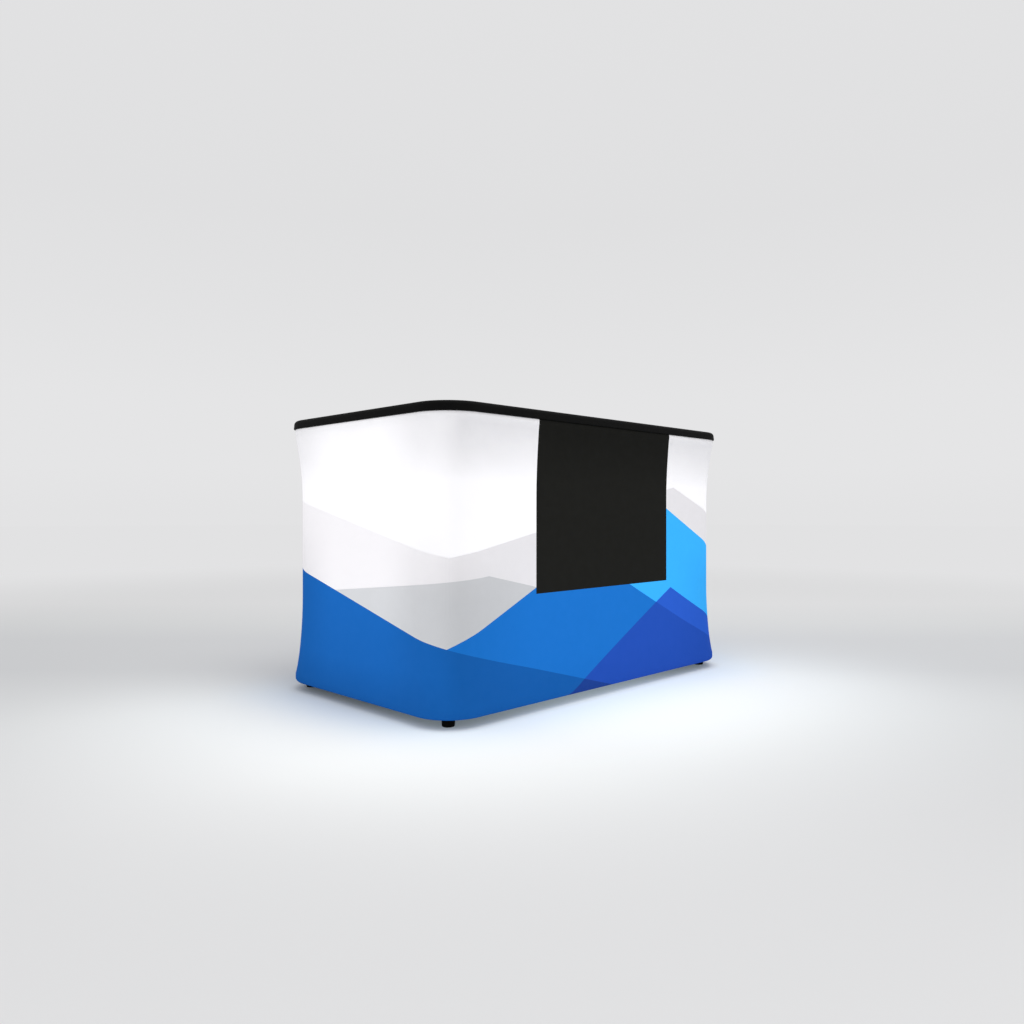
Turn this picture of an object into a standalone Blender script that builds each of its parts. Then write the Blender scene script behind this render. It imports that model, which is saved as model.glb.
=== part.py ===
"""Backlit exhibition counter: a moulded top on an air-filled core, wrapped in a printed stretch-fabric skin.

Units are metres. +Z is up, the long side runs along X and the front faces -Y.
The origin is on the floor, under the middle of the countertop.
Insets are measured inwards from the plan outline of the countertop.
"""

import math

import bmesh
import bpy
from mathutils import Matrix, Vector
from mathutils.geometry import interpolate_bezier

# Fits
FIT_GAP = 0.0003
CUT_OVERRUN = 0.004
SCREW_CLEARANCE = 0.0003

# Countertop
TOTAL_HEIGHT = 1.000
TOP_LENGTH = 1.593
TOP_DEPTH = 0.964
TOP_THICKNESS = 0.032
TOP_CORNER_RADIUS = 0.136
TOP_EDGE_RADIUS = 0.015
TOP_LOWER_RADIUS = 0.0035
TOP_DRAFT = 0.0015
TOP_WALL = 0.004
TOP_RIM_WIDTH = 0.020
LIFT_RIB_DEPTH = 0.012
RIB_WALL = 0.005
RIB_COLUMN_COUNT = 3
RIB_ROW_COUNT = 2
LOCATING_CLEARANCE = 0.004

# Fabric skin
SKIN_THICKNESS = 0.0015
SKIN_TOP_INSET = 0.0055
SKIN_BASE_INSET = 0.004
SKIN_WAIST_INSET = 0.0145
SKIN_TOP_RADIUS = 0.1305
SKIN_BASE_RADIUS = 0.1395
SKIN_WAIST_RADIUS = 0.154
SKIN_EDGE_RADIUS = 0.015
SKIN_HEM_WIDTH = 0.025
SKIN_FOLD_WIDTH = 0.040
BASE_FLARE_START = 0.058
BASE_FLARE_HEIGHT = 0.300
BASE_FLARE_POWER = 0.8
TOP_FLARE_DROP = 0.013
TOP_FLARE_HEIGHT = 0.250
BASE_FLARE_SHARES = (0, 0.08, 0.18, 0.3, 0.45, 0.7, 1)
TOP_FLARE_SHARES = (1, 0.7, 0.45, 0.25, 0)
DRAWCORD_RADIUS = 0.002

# Feet and their fasteners
FOOT_HEIGHT = 0.028
FOOT_TOP_RADIUS = 0.022
FOOT_BOTTOM_RADIUS = 0.020
FOOT_EDGE_RADIUS = 0.003
FOOT_INSET = 0.085
FOOT_RECESS_RADIUS = 0.008
FOOT_RECESS_DEPTH = 0.012
SCREW_RADIUS = 0.003
SCREW_HEAD_RADIUS = 0.006
SCREW_HEAD_HEIGHT = 0.004
NUT_HEIGHT = 0.0032
NUT_RADIUS = 0.0058
PAD_HOLE_RADIUS = 0.008

# Base frame, top frame and crossbars
FRAME_WALL = 0.003
BASE_BAND_HEIGHT = 0.028
BASE_FLANGE_END_INSET = 0.130
TOP_BAND_HEIGHT = 0.010
TOP_FLANGE_END_INSET = 0.118
CROSSBAR_WIDTH = 0.040
CROSSBAR_HEIGHT = 0.012
CROSSBAR_WALL = 0.0015
CROSSBAR_END_INSET = 0.105

# Air-filled core
RING_RADIUS = 0.045
RING_INSET = 0.058
POST_RADIUS = 0.040
POST_SKIN_CLEARANCE = 0.006
BLADDER_WALL = 0.0018
PAD_WIDTH = 0.050
PAD_THICKNESS = 0.005

# Inflation valve
VALVE_OFFSET = 0.350
VALVE_RADIUS = 0.019
VALVE_BORE_RADIUS = 0.012
VALVE_RISE = 0.016
VALVE_WEB = 0.003
VALVE_WEB_DROP = 0.013
VALVE_SEAT_HEIGHT = 0.006
CAP_RADIUS = 0.020
CAP_HEIGHT = 0.004
CAP_PLUG_HEIGHT = 0.002
CAP_GRIP_WIDTH = 0.005
CAP_GRIP_HEIGHT = 0.005
PIN_RADIUS = 0.003
PIN_HEAD_RADIUS = 0.006
PIN_HEAD_HEIGHT = 0.002
PIN_TRAVEL = 0.005
PIN_SEAL_RADIUS = 0.009
PIN_SEAL_HEIGHT = 0.002

# Light bars
BAR_INSET = 0.1175
BAR_CROSSBAR_GAP = 0.030
SHORT_BAR_END_INSET = 0.232
HOUSING_WIDTH = 0.018
HOUSING_HEIGHT = 0.010
HOUSING_WALL = 0.0015
BOARD_WIDTH = 0.012
BOARD_THICKNESS = 0.0016
BOARD_END_GAP = 0.012
LENS_DEPTH = 0.003
LENS_CROWN = 0.002
CLIP_WALL = 0.0012
CLIP_ARM = 0.006
CLIP_LENGTH = 0.016
CLIP_END_SHARE = 0.2

# Wiring
LEAD_RADIUS = 0.00225
LEAD_CROSSBAR_CLEARANCE = 0.003
LEAD_CORNER_REACH = 0.035
LEAD_TAIL = 0.012
LEAD_STEPS = 4

# Power supply, inlet and switch
SUPPLY_WIDTH = 0.084
SUPPLY_LENGTH = 0.180
SUPPLY_HEIGHT = 0.042
SUPPLY_REAR = 0.160
SUPPLY_BAR_GAP = 0.028
SUPPLY_EDGE = 0.003
INLET_OFFSET = -0.018
INLET_WIDTH = 0.029
INLET_HEIGHT = 0.022
INLET_DEPTH = 0.024
INLET_FLANGE_WIDTH = 0.035
INLET_FLANGE_HEIGHT = 0.028
INLET_FLANGE = 0.002
SOCKET_WIDTH = 0.0246
SOCKET_HEIGHT = 0.0166
SOCKET_DEPTH = 0.017
CONTACT_WIDTH = 0.002
CONTACT_HEIGHT = 0.004
CONTACT_SETBACK = 0.006
CONTACT_SPREAD = 0.007
CONTACT_RISE = 0.002
SWITCH_OFFSET = 0.026
SWITCH_POCKET_WIDTH = 0.0136
SWITCH_POCKET_HEIGHT = 0.0212
SWITCH_POCKET_DEPTH = 0.010
ROCKER_WIDTH = 0.013
ROCKER_HEIGHT = 0.0186
ROCKER_BACK = 0.005
ROCKER_FRONT = 0.0045
ROCKER_DISH = 0.001
ROCKER_PIVOT_DEPTH = 0.004
ROCKER_TILT = math.radians(6)
TRUNNION_RADIUS = 0.0015
TRUNNION_LENGTH = 0.0012

# Rear access zip
ZIP_HEIGHT = 0.150
ZIP_END_INSET = 0.2465
CHAIN_WIDTH = 0.008
CHAIN_THICKNESS = 0.0025
SLIDER_LENGTH = 0.010
SLIDER_WALL = 0.0014
SLIDER_LIP = 0.0012
SLIDER_WRAP = 0.0017
SLIDER_END_OFFSET = 0.012
ARCH_WIDTH = 0.003
ARCH_HEIGHT = 0.010
ARCH_GAP = 0.0026
ARCH_WALL = 0.0012
PULL_BAR = 0.0016
PULL_WIDTH = 0.0076
PULL_LENGTH = 0.032
PULL_HOLE_WIDTH = 0.0036
PULL_HOLE_LENGTH = 0.0062

# Facets
CORNER_STEPS = 6
EDGE_STEPS = 3
RING_SIDES = 16
POST_SIDES = 20
ROUND_SIDES = 16
CORD_SIDES = 6
NUT_SIDES = 6
SMOOTH_ANGLE = math.radians(40)

# Heights that follow from the sizes above
TOP_UNDERSIDE = TOTAL_HEIGHT - TOP_THICKNESS
FOLD_TOP = TOP_UNDERSIDE - FIT_GAP
TOP_FRAME_TOP = FOLD_TOP - SKIN_THICKNESS - FIT_GAP
TOP_FRAME_UNDERSIDE = TOP_FRAME_TOP - FRAME_WALL
TOP_FLARE_START = TOP_UNDERSIDE - TOP_FLARE_DROP
HEM_TOP = FOOT_HEIGHT + SKIN_THICKNESS
BASE_UNDERSIDE = HEM_TOP + FIT_GAP
BASE_FLOOR = BASE_UNDERSIDE + FRAME_WALL
PAD_BOTTOM = BASE_FLOOR + FIT_GAP
PAD_TOP = PAD_BOTTOM + PAD_THICKNESS
RING_FLAT = RING_RADIUS * math.cos(math.pi / RING_SIDES)
LOWER_RING_HEIGHT = PAD_TOP + FIT_GAP + RING_FLAT
UPPER_RING_HEIGHT = TOP_FRAME_UNDERSIDE - FIT_GAP - RING_FLAT
CROSSBAR_BOTTOM = BASE_FLOOR + FIT_GAP
CROSSBAR_TOP = CROSSBAR_BOTTOM + CROSSBAR_HEIGHT
HOUSING_BOTTOM = BASE_FLOOR + FIT_GAP + CLIP_WALL + FIT_GAP
HOUSING_FLOOR = HOUSING_BOTTOM + HOUSING_WALL

# Plan sizes that follow from the sizes above
DIAGONAL_SHARE = 1 - math.cos(math.pi / 4)
POST_INSET = (
    SKIN_WAIST_INSET
    + SKIN_WAIST_RADIUS * DIAGONAL_SHARE
    + (SKIN_THICKNESS + POST_SKIN_CLEARANCE + POST_RADIUS) * math.cos(math.pi / 4)
)
RING_CORNER_RADIUS = (POST_INSET - RING_INSET) / DIAGONAL_SHARE
SUPPLY_INSET = BAR_INSET + HOUSING_WIDTH / 2 + SUPPLY_BAR_GAP + SUPPLY_WIDTH / 2
CROSSBAR_OFFSET = TOP_LENGTH / 2 - SUPPLY_INSET
LONG_BAR_LENGTH = (CROSSBAR_OFFSET - CROSSBAR_WIDTH / 2 - BAR_CROSSBAR_GAP) * 2
SHORT_BAR_LENGTH = TOP_DEPTH - SHORT_BAR_END_INSET * 2
ZIP_LENGTH = TOP_LENGTH - ZIP_END_INSET * 2
CORNERS = (("front_left", -1, -1), ("front_right", 1, -1), ("rear_left", -1, 1), ("rear_right", 1, 1))


def clear_scene():
    """Start from an empty scene."""
    for old in list(bpy.data.objects):
        bpy.data.objects.remove(old, do_unlink=True)


def material(name, colour, roughness, metallic=0.0):
    """A plain Principled material."""
    made = bpy.data.materials.new(name)
    made.use_nodes = True
    shader = made.node_tree.nodes["Principled BSDF"]
    shader.inputs["Base Color"].default_value = (*colour, 1.0)
    shader.inputs["Roughness"].default_value = roughness
    shader.inputs["Metallic"].default_value = metallic
    made.diffuse_color = (*colour, 1.0)
    return made


def finished_mesh(name, bm):
    """Turn the faces outwards, shade round stretches smooth and keep crisp edges."""
    bmesh.ops.recalc_face_normals(bm, faces=bm.faces)
    mesh = bpy.data.meshes.new(name)
    bm.to_mesh(mesh)
    bm.free()
    mesh.shade_smooth()
    mesh.set_sharp_from_angle(angle=SMOOTH_ANGLE)
    return mesh


def place(name, mesh, look=None, location=(0, 0, 0), rotation=(0, 0, 0)):
    """Put a mesh or curve in the scene as one named sub-part."""
    piece = bpy.data.objects.new(name, mesh)
    bpy.context.collection.objects.link(piece)
    piece.location = location
    piece.rotation_euler = rotation
    if look and not mesh.materials:
        mesh.materials.append(look)
    return piece


def cutter(name, mesh):
    """A guide shape for a Boolean. It isn't part of the counter."""
    guide = place(name, mesh)
    guide.hide_render = True
    guide.display_type = "WIRE"
    return guide


def combine(piece, guide, operation="DIFFERENCE"):
    """Cut the guide out of the piece, or join it on."""
    boolean = piece.modifiers.new(guide.name, "BOOLEAN")
    boolean.operation = operation
    boolean.solver = "EXACT"
    boolean.object = guide


def soften(piece, width, segments=2):
    """Round the piece's sharp edges."""
    bevel = piece.modifiers.new("edges", "BEVEL")
    bevel.width = width
    bevel.segments = segments
    bevel.limit_method = "ANGLE"


def add_block(bm, low, high):
    """A box between two corners."""
    low = Vector(low)
    high = Vector(high)
    size = high - low
    matrix = Matrix.Translation((low + high) / 2) @ Matrix.Diagonal((*size, 1))
    bmesh.ops.create_cube(bm, size=1, matrix=matrix)


def block_mesh(name, *corner_pairs):
    """One or more separate boxes."""
    bm = bmesh.new()
    for low, high in corner_pairs:
        add_block(bm, low, high)
    return finished_mesh(name, bm)


def add_rod(bm, centre, radius, bottom, top, sides=ROUND_SIDES):
    """An upright cylinder between two heights."""
    middle = Matrix.Translation((centre[0], centre[1], (bottom + top) / 2))
    bmesh.ops.create_cone(
        bm, cap_ends=True, segments=sides, radius1=radius, radius2=radius, depth=top - bottom, matrix=middle
    )


def plan_outline(inset, radius, height):
    """Points round the counter's plan outline, drawn in by an inset, at one height."""
    reach_x = TOP_LENGTH / 2 - inset - radius
    reach_y = TOP_DEPTH / 2 - inset - radius
    points = []
    for quarter, (side_x, side_y) in enumerate(((1, 1), (-1, 1), (-1, -1), (1, -1))):
        for step in range(CORNER_STEPS + 1):
            angle = (quarter + step / CORNER_STEPS) * math.pi / 2
            x = side_x * reach_x + radius * math.cos(angle)
            y = side_y * reach_y + radius * math.sin(angle)
            points.append((x, y, height))
    return points


def skinned(bm, rings, closed):
    """Faces between rings of equal length. An open row of rings is capped at both ends."""
    rows = [[bm.verts.new(point) for point in ring] for ring in rings]
    count = len(rows[0])
    pairs = list(zip(rows, rows[1:]))
    if closed:
        pairs.append((rows[-1], rows[0]))
    for row, following in pairs:
        for here in range(count):
            after = (here + 1) % count
            bm.faces.new((row[here], row[after], following[after], following[here]))
    if not closed:
        bm.faces.new(rows[0])
        bm.faces.new(rows[-1])


def loop_mesh(name, stations, closed=True):
    """A profile of (inset, corner radius, height) stations carried round the plan outline."""
    bm = bmesh.new()
    skinned(bm, [plan_outline(*station) for station in stations], closed)
    return finished_mesh(name, bm)


def turned_mesh(name, profile, closed=True, sides=ROUND_SIDES):
    """A profile of (radius, height) points turned about Z. A closed profile leaves a bore."""
    bm = bmesh.new()
    rings = []
    for radius, height in profile:
        turns = [math.tau * (side + 0.5) / sides for side in range(sides)]
        rings.append([(radius * math.cos(turn), radius * math.sin(turn), height) for turn in turns])
    skinned(bm, rings, closed)
    return finished_mesh(name, bm)


def bar_mesh(name, outline, length):
    """An outline of (y, z) points drawn out along X, centred on the origin."""
    bm = bmesh.new()
    ends = [[(end * length / 2, y, z) for y, z in outline] for end in (-1, 1)]
    skinned(bm, ends, closed=False)
    return finished_mesh(name, bm)


def arc(centre, radius, start, end, steps=EDGE_STEPS):
    """Points along an arc, with angles in quarter turns."""
    points = []
    for step in range(steps + 1):
        angle = (start + (end - start) * step / steps) * math.pi / 2
        points.append((centre[0] + radius * math.cos(angle), centre[1] + radius * math.sin(angle)))
    return points


def tube_stations(inset, corner_radius, height, radius, sides=RING_SIDES):
    """Stations of a round tube that follows the plan outline."""
    stations = []
    for side in range(sides):
        angle = math.tau * (side + 0.5) / sides
        outwards = radius * math.cos(angle)
        stations.append((inset - outwards, corner_radius + outwards, height + radius * math.sin(angle)))
    return stations


def top_station(inset, height):
    """A countertop station: the corner radius shrinks with the inset."""
    return (inset, TOP_CORNER_RADIUS - inset, height)


def base_station(inset, height):
    """A base frame station, parallel to the skin's lower outline."""
    return (inset, SKIN_BASE_RADIUS + SKIN_BASE_INSET - inset, height)


def upper_station(inset, height):
    """A top frame station, parallel to the skin's upper outline."""
    return (inset, SKIN_TOP_RADIUS + SKIN_TOP_INSET - inset, height)


def waist_mix(inset, radius, share):
    """Inset and corner radius on the way from a flared edge to the waist."""
    mixed_inset = inset + share * (SKIN_WAIST_INSET - inset)
    mixed_radius = radius + share * (SKIN_WAIST_RADIUS - radius)
    return mixed_inset, mixed_radius


def skin_wall():
    """Stations up the skin's outer face, from the base flare to the top flare."""
    wall = []
    for rise_share in BASE_FLARE_SHARES:
        drawn_in = math.sin(math.pi / 2 * rise_share**BASE_FLARE_POWER)
        height = BASE_FLARE_START + rise_share * BASE_FLARE_HEIGHT
        wall.append((*waist_mix(SKIN_BASE_INSET, SKIN_BASE_RADIUS, drawn_in), height))
    for drop_share in TOP_FLARE_SHARES:
        drawn_in = math.sin(math.pi / 2 * drop_share)
        height = TOP_FLARE_START - drop_share * TOP_FLARE_HEIGHT
        wall.append((*waist_mix(SKIN_TOP_INSET, SKIN_TOP_RADIUS, drawn_in), height))
    return wall


def skin_inset_at(height):
    """Inset of the skin's outer face at a height, read between its stations."""
    wall = skin_wall()
    for (low_inset, _, low), (high_inset, _, high) in zip(wall, wall[1:]):
        if low <= height <= high:
            return low_inset + (high_inset - low_inset) * (height - low) / (high - low)
    return SKIN_BASE_INSET


def make_countertop(look, rib_look):
    """The moulded top, hollow underneath, and the rib grid bonded into it."""
    side_top = TOTAL_HEIGHT - TOP_EDGE_RADIUS
    edge_centre = (TOP_DRAFT + TOP_EDGE_RADIUS, side_top)
    lower_centre = (TOP_LOWER_RADIUS, TOP_UNDERSIDE + TOP_LOWER_RADIUS)
    ceiling = TOTAL_HEIGHT - TOP_WALL
    profile = [(TOP_RIM_WIDTH, ceiling), (TOP_RIM_WIDTH, TOP_UNDERSIDE)]
    profile += arc(lower_centre, TOP_LOWER_RADIUS, -1, -2, 2)
    profile += arc(edge_centre, TOP_EDGE_RADIUS, 2, 1)
    stations = [top_station(inset, height) for inset, height in profile]
    place("countertop", loop_mesh("countertop", stations, closed=False), look)

    reach_inset = TOP_FLANGE_END_INSET + LOCATING_CLEARANCE
    reach_x = TOP_LENGTH / 2 - reach_inset
    reach_y = TOP_DEPTH / 2 - reach_inset
    bottom = TOP_UNDERSIDE - LIFT_RIB_DEPTH
    top = ceiling - FIT_GAP
    grid_stations = [upper_station(reach_inset, bottom), upper_station(reach_inset, top)]
    grid_mesh = loop_mesh("countertop_rib_frame", grid_stations, closed=False)
    grid = place("countertop_rib_frame", grid_mesh, rib_look)
    cell_x = (reach_x * 2 - RIB_WALL) / RIB_COLUMN_COUNT
    cell_y = (reach_y * 2 - RIB_WALL) / RIB_ROW_COUNT
    cells = []
    for column in range(RIB_COLUMN_COUNT):
        for row in range(RIB_ROW_COUNT):
            low_x = -reach_x + RIB_WALL + column * cell_x
            low_y = -reach_y + RIB_WALL + row * cell_y
            high_x = low_x + cell_x - RIB_WALL
            high_y = low_y + cell_y - RIB_WALL
            cells.append(((low_x, low_y, bottom - CUT_OVERRUN), (high_x, high_y, top + CUT_OVERRUN)))
    combine(grid, cutter("rib_cells", block_mesh("rib_cells", *cells)))


def make_skin(look, cord_look):
    """The fabric skin with its hem under the base and its fold over the top frame, and the hem's cord."""
    wall = skin_wall()
    edge_centre = (SKIN_BASE_INSET + SKIN_EDGE_RADIUS, FOOT_HEIGHT + SKIN_EDGE_RADIUS)
    hem_end = SKIN_BASE_INSET + SKIN_HEM_WIDTH
    fold_end = SKIN_TOP_INSET + SKIN_FOLD_WIDTH
    inner_edge = SKIN_EDGE_RADIUS - SKIN_THICKNESS

    outside = [base_station(hem_end, FOOT_HEIGHT)]
    outside += [base_station(*point) for point in arc(edge_centre, SKIN_EDGE_RADIUS, -1, -2)]
    outside += wall
    outside.append(upper_station(SKIN_TOP_INSET, FOLD_TOP))
    outside.append(upper_station(fold_end, FOLD_TOP))

    inside = [base_station(hem_end, HEM_TOP)]
    inside += [base_station(*point) for point in arc(edge_centre, inner_edge, -1, -2)]
    inside += [(inset + SKIN_THICKNESS, radius - SKIN_THICKNESS, height) for inset, radius, height in wall]
    inside.append(upper_station(SKIN_TOP_INSET + SKIN_THICKNESS, FOLD_TOP - SKIN_THICKNESS))
    inside.append(upper_station(fold_end, FOLD_TOP - SKIN_THICKNESS))
    place("printed_skin", loop_mesh("printed_skin", outside + inside[::-1]), look)

    cord_inset = hem_end + FIT_GAP + DRAWCORD_RADIUS
    cord_height = BASE_UNDERSIDE - FIT_GAP - DRAWCORD_RADIUS
    _, cord_corner, _ = base_station(cord_inset, cord_height)
    stations = tube_stations(cord_inset, cord_corner, cord_height, DRAWCORD_RADIUS, CORD_SIDES)
    place("hem_drawcord", loop_mesh("hem_drawcord", stations), cord_look)


def foot_places():
    """Name, X and Y of each foot."""
    reach_x = TOP_LENGTH / 2 - FOOT_INSET
    reach_y = TOP_DEPTH / 2 - FOOT_INSET
    return [(name, side_x * reach_x, side_y * reach_y) for name, side_x, side_y in CORNERS]


def foot_holes(name, radius, bottom, top):
    """Upright cutters at the four feet."""
    bm = bmesh.new()
    for _, x, y in foot_places():
        add_rod(bm, (x, y), radius, bottom - CUT_OVERRUN, top + CUT_OVERRUN)
    return cutter(name, finished_mesh(name, bm))


def make_base(frame_look, pad_look, bar_look):
    """The rigid base rim, the foam pad under the air ring, and two crossbars."""
    outline_inset = SKIN_BASE_INSET + SKIN_THICKNESS + FIT_GAP
    edge_radius = SKIN_EDGE_RADIUS - SKIN_THICKNESS - FIT_GAP
    edge_centre = (outline_inset + edge_radius, BASE_UNDERSIDE + edge_radius)
    band_top = BASE_UNDERSIDE + BASE_BAND_HEIGHT
    profile = [(BASE_FLANGE_END_INSET, BASE_UNDERSIDE)]
    profile += arc(edge_centre, edge_radius, -1, -2)
    profile += [(outline_inset, band_top), (outline_inset + FRAME_WALL, band_top)]
    profile += arc(edge_centre, edge_radius - FRAME_WALL, -2, -1)
    profile.append((BASE_FLANGE_END_INSET, BASE_FLOOR))
    frame_mesh = loop_mesh("base_frame", [base_station(*point) for point in profile])
    frame = place("base_frame", frame_mesh, frame_look)
    screw_hole = SCREW_RADIUS + SCREW_CLEARANCE
    combine(frame, foot_holes("frame_screw_holes", screw_hole, BASE_UNDERSIDE, BASE_FLOOR))

    stations = []
    for across, height in ((-1, PAD_BOTTOM), (1, PAD_BOTTOM), (1, PAD_TOP), (-1, PAD_TOP)):
        outwards = across * PAD_WIDTH / 2
        stations.append((RING_INSET - outwards, RING_CORNER_RADIUS + outwards, height))
    pad = place("lower_ring_pad", loop_mesh("lower_ring_pad", stations), pad_look)
    combine(pad, foot_holes("pad_nut_holes", PAD_HOLE_RADIUS, PAD_BOTTOM, PAD_TOP))

    bar_length = TOP_DEPTH - CROSSBAR_END_INSET * 2
    outer_half = CROSSBAR_WIDTH / 2
    inner_half = outer_half - CROSSBAR_WALL
    inner_low = CROSSBAR_WALL
    inner_high = CROSSBAR_HEIGHT - CROSSBAR_WALL
    tube_block = ((-bar_length / 2, -outer_half, 0), (bar_length / 2, outer_half, CROSSBAR_HEIGHT))
    bore_end = bar_length / 2 + CUT_OVERRUN
    bore_block = ((-bore_end, -inner_half, inner_low), (bore_end, inner_half, inner_high))
    tube = block_mesh("base_crossbar", tube_block)
    bore = block_mesh("crossbar_bore", bore_block)
    for side_name, side in (("left", -1), ("right", 1)):
        seat = (side * CROSSBAR_OFFSET, 0, CROSSBAR_BOTTOM)
        bar = place(f"base_crossbar_{side_name}", tube, bar_look, seat, (0, 0, math.pi / 2))
        guide = cutter(f"crossbar_bore_{side_name}", bore)
        guide.parent = bar
        combine(bar, guide)


def make_top_frame(look):
    """The rigid rim under the countertop that the skin folds over."""
    outline_inset = SKIN_TOP_INSET + SKIN_THICKNESS + FIT_GAP
    band_bottom = TOP_FRAME_TOP - TOP_BAND_HEIGHT
    profile = [
        (TOP_FLANGE_END_INSET, TOP_FRAME_TOP),
        (outline_inset, TOP_FRAME_TOP),
        (outline_inset, band_bottom),
        (outline_inset + FRAME_WALL, band_bottom),
        (outline_inset + FRAME_WALL, TOP_FRAME_UNDERSIDE),
        (TOP_FLANGE_END_INSET, TOP_FRAME_UNDERSIDE),
    ]
    place("top_frame", loop_mesh("top_frame", [upper_station(*point) for point in profile]), look)


def make_feet(rubber, steel):
    """Rubber feet, with the screw and nut that hold each one to the base frame."""
    foot_top = BASE_UNDERSIDE - FIT_GAP
    hole = SCREW_RADIUS + SCREW_CLEARANCE
    edge_centre = (FOOT_BOTTOM_RADIUS - FOOT_EDGE_RADIUS, FOOT_EDGE_RADIUS)
    profile = [(hole, FOOT_RECESS_DEPTH), (FOOT_RECESS_RADIUS, FOOT_RECESS_DEPTH), (FOOT_RECESS_RADIUS, 0)]
    profile += arc(edge_centre, FOOT_EDGE_RADIUS, -1, 0, 2)
    profile += [(FOOT_TOP_RADIUS, foot_top), (hole, foot_top)]
    foot = turned_mesh("foot", profile)

    head_top = FOOT_RECESS_DEPTH - FIT_GAP
    nut_bottom = BASE_FLOOR + FIT_GAP
    nut_top = nut_bottom + NUT_HEIGHT
    screw_profile = [
        (SCREW_HEAD_RADIUS, head_top - SCREW_HEAD_HEIGHT),
        (SCREW_HEAD_RADIUS, head_top),
        (SCREW_RADIUS, head_top),
        (SCREW_RADIUS, nut_top),
    ]
    screw = turned_mesh("foot_screw", screw_profile, closed=False)
    thread = hole / math.cos(math.pi / NUT_SIDES)
    nut_profile = [(thread, nut_bottom), (NUT_RADIUS, nut_bottom), (NUT_RADIUS, nut_top), (thread, nut_top)]
    nut = turned_mesh("foot_nut", nut_profile, sides=NUT_SIDES)
    for name, x, y in foot_places():
        place(f"foot_{name}", foot, rubber, (x, y, 0))
        place(f"foot_screw_{name}", screw, steel, (x, y, 0))
        place(f"foot_nut_{name}", nut, steel, (x, y, 0))


def valve_place():
    """X and Y of the inflation valve, on the rear run of the lower ring."""
    return VALVE_OFFSET, TOP_DEPTH / 2 - RING_INSET


def make_air_core(look):
    """Two air-filled rings joined by four posts, open to each other through ports."""
    post_bore = POST_RADIUS - BLADDER_WALL
    reach_x = TOP_LENGTH / 2 - POST_INSET
    reach_y = TOP_DEPTH / 2 - POST_INSET
    saddles = []
    for level, height, port_top in (
        ("lower", LOWER_RING_HEIGHT, LOWER_RING_HEIGHT + RING_RADIUS + CUT_OVERRUN),
        ("upper", UPPER_RING_HEIGHT, UPPER_RING_HEIGHT - RING_RADIUS - CUT_OVERRUN),
    ):
        name = f"{level}_air_ring"
        outer = tube_stations(RING_INSET, RING_CORNER_RADIUS, height, RING_RADIUS)
        inner = tube_stations(RING_INSET, RING_CORNER_RADIUS, height, RING_RADIUS - BLADDER_WALL)
        saddle = tube_stations(RING_INSET, RING_CORNER_RADIUS, height, RING_RADIUS + FIT_GAP)
        ring = place(name, loop_mesh(name, outer), look)
        combine(ring, cutter(f"{level}_ring_bore", loop_mesh(f"{level}_ring_bore", inner)))
        ports = bmesh.new()
        for _, side_x, side_y in CORNERS:
            low, high = sorted((height, port_top))
            add_rod(ports, (side_x * reach_x, side_y * reach_y), post_bore, low, high, POST_SIDES)
        if level == "lower":
            add_rod(ports, valve_place(), VALVE_BORE_RADIUS, height, port_top)
        combine(ring, cutter(f"{level}_ring_ports", finished_mesh(f"{level}_ring_ports", ports)))
        saddles.append(cutter(f"{level}_ring_saddle", loop_mesh(f"{level}_ring_saddle", saddle)))

    post_profile = [
        (post_bore, LOWER_RING_HEIGHT),
        (POST_RADIUS, LOWER_RING_HEIGHT),
        (POST_RADIUS, UPPER_RING_HEIGHT),
        (post_bore, UPPER_RING_HEIGHT),
    ]
    post_mesh = turned_mesh("air_post", post_profile, sides=POST_SIDES)
    for name, side_x, side_y in CORNERS:
        post = place(f"air_post_{name}", post_mesh, look, (side_x * reach_x, side_y * reach_y, 0))
        for saddle in saddles:
            combine(post, saddle)
    return saddles[0]


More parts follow.
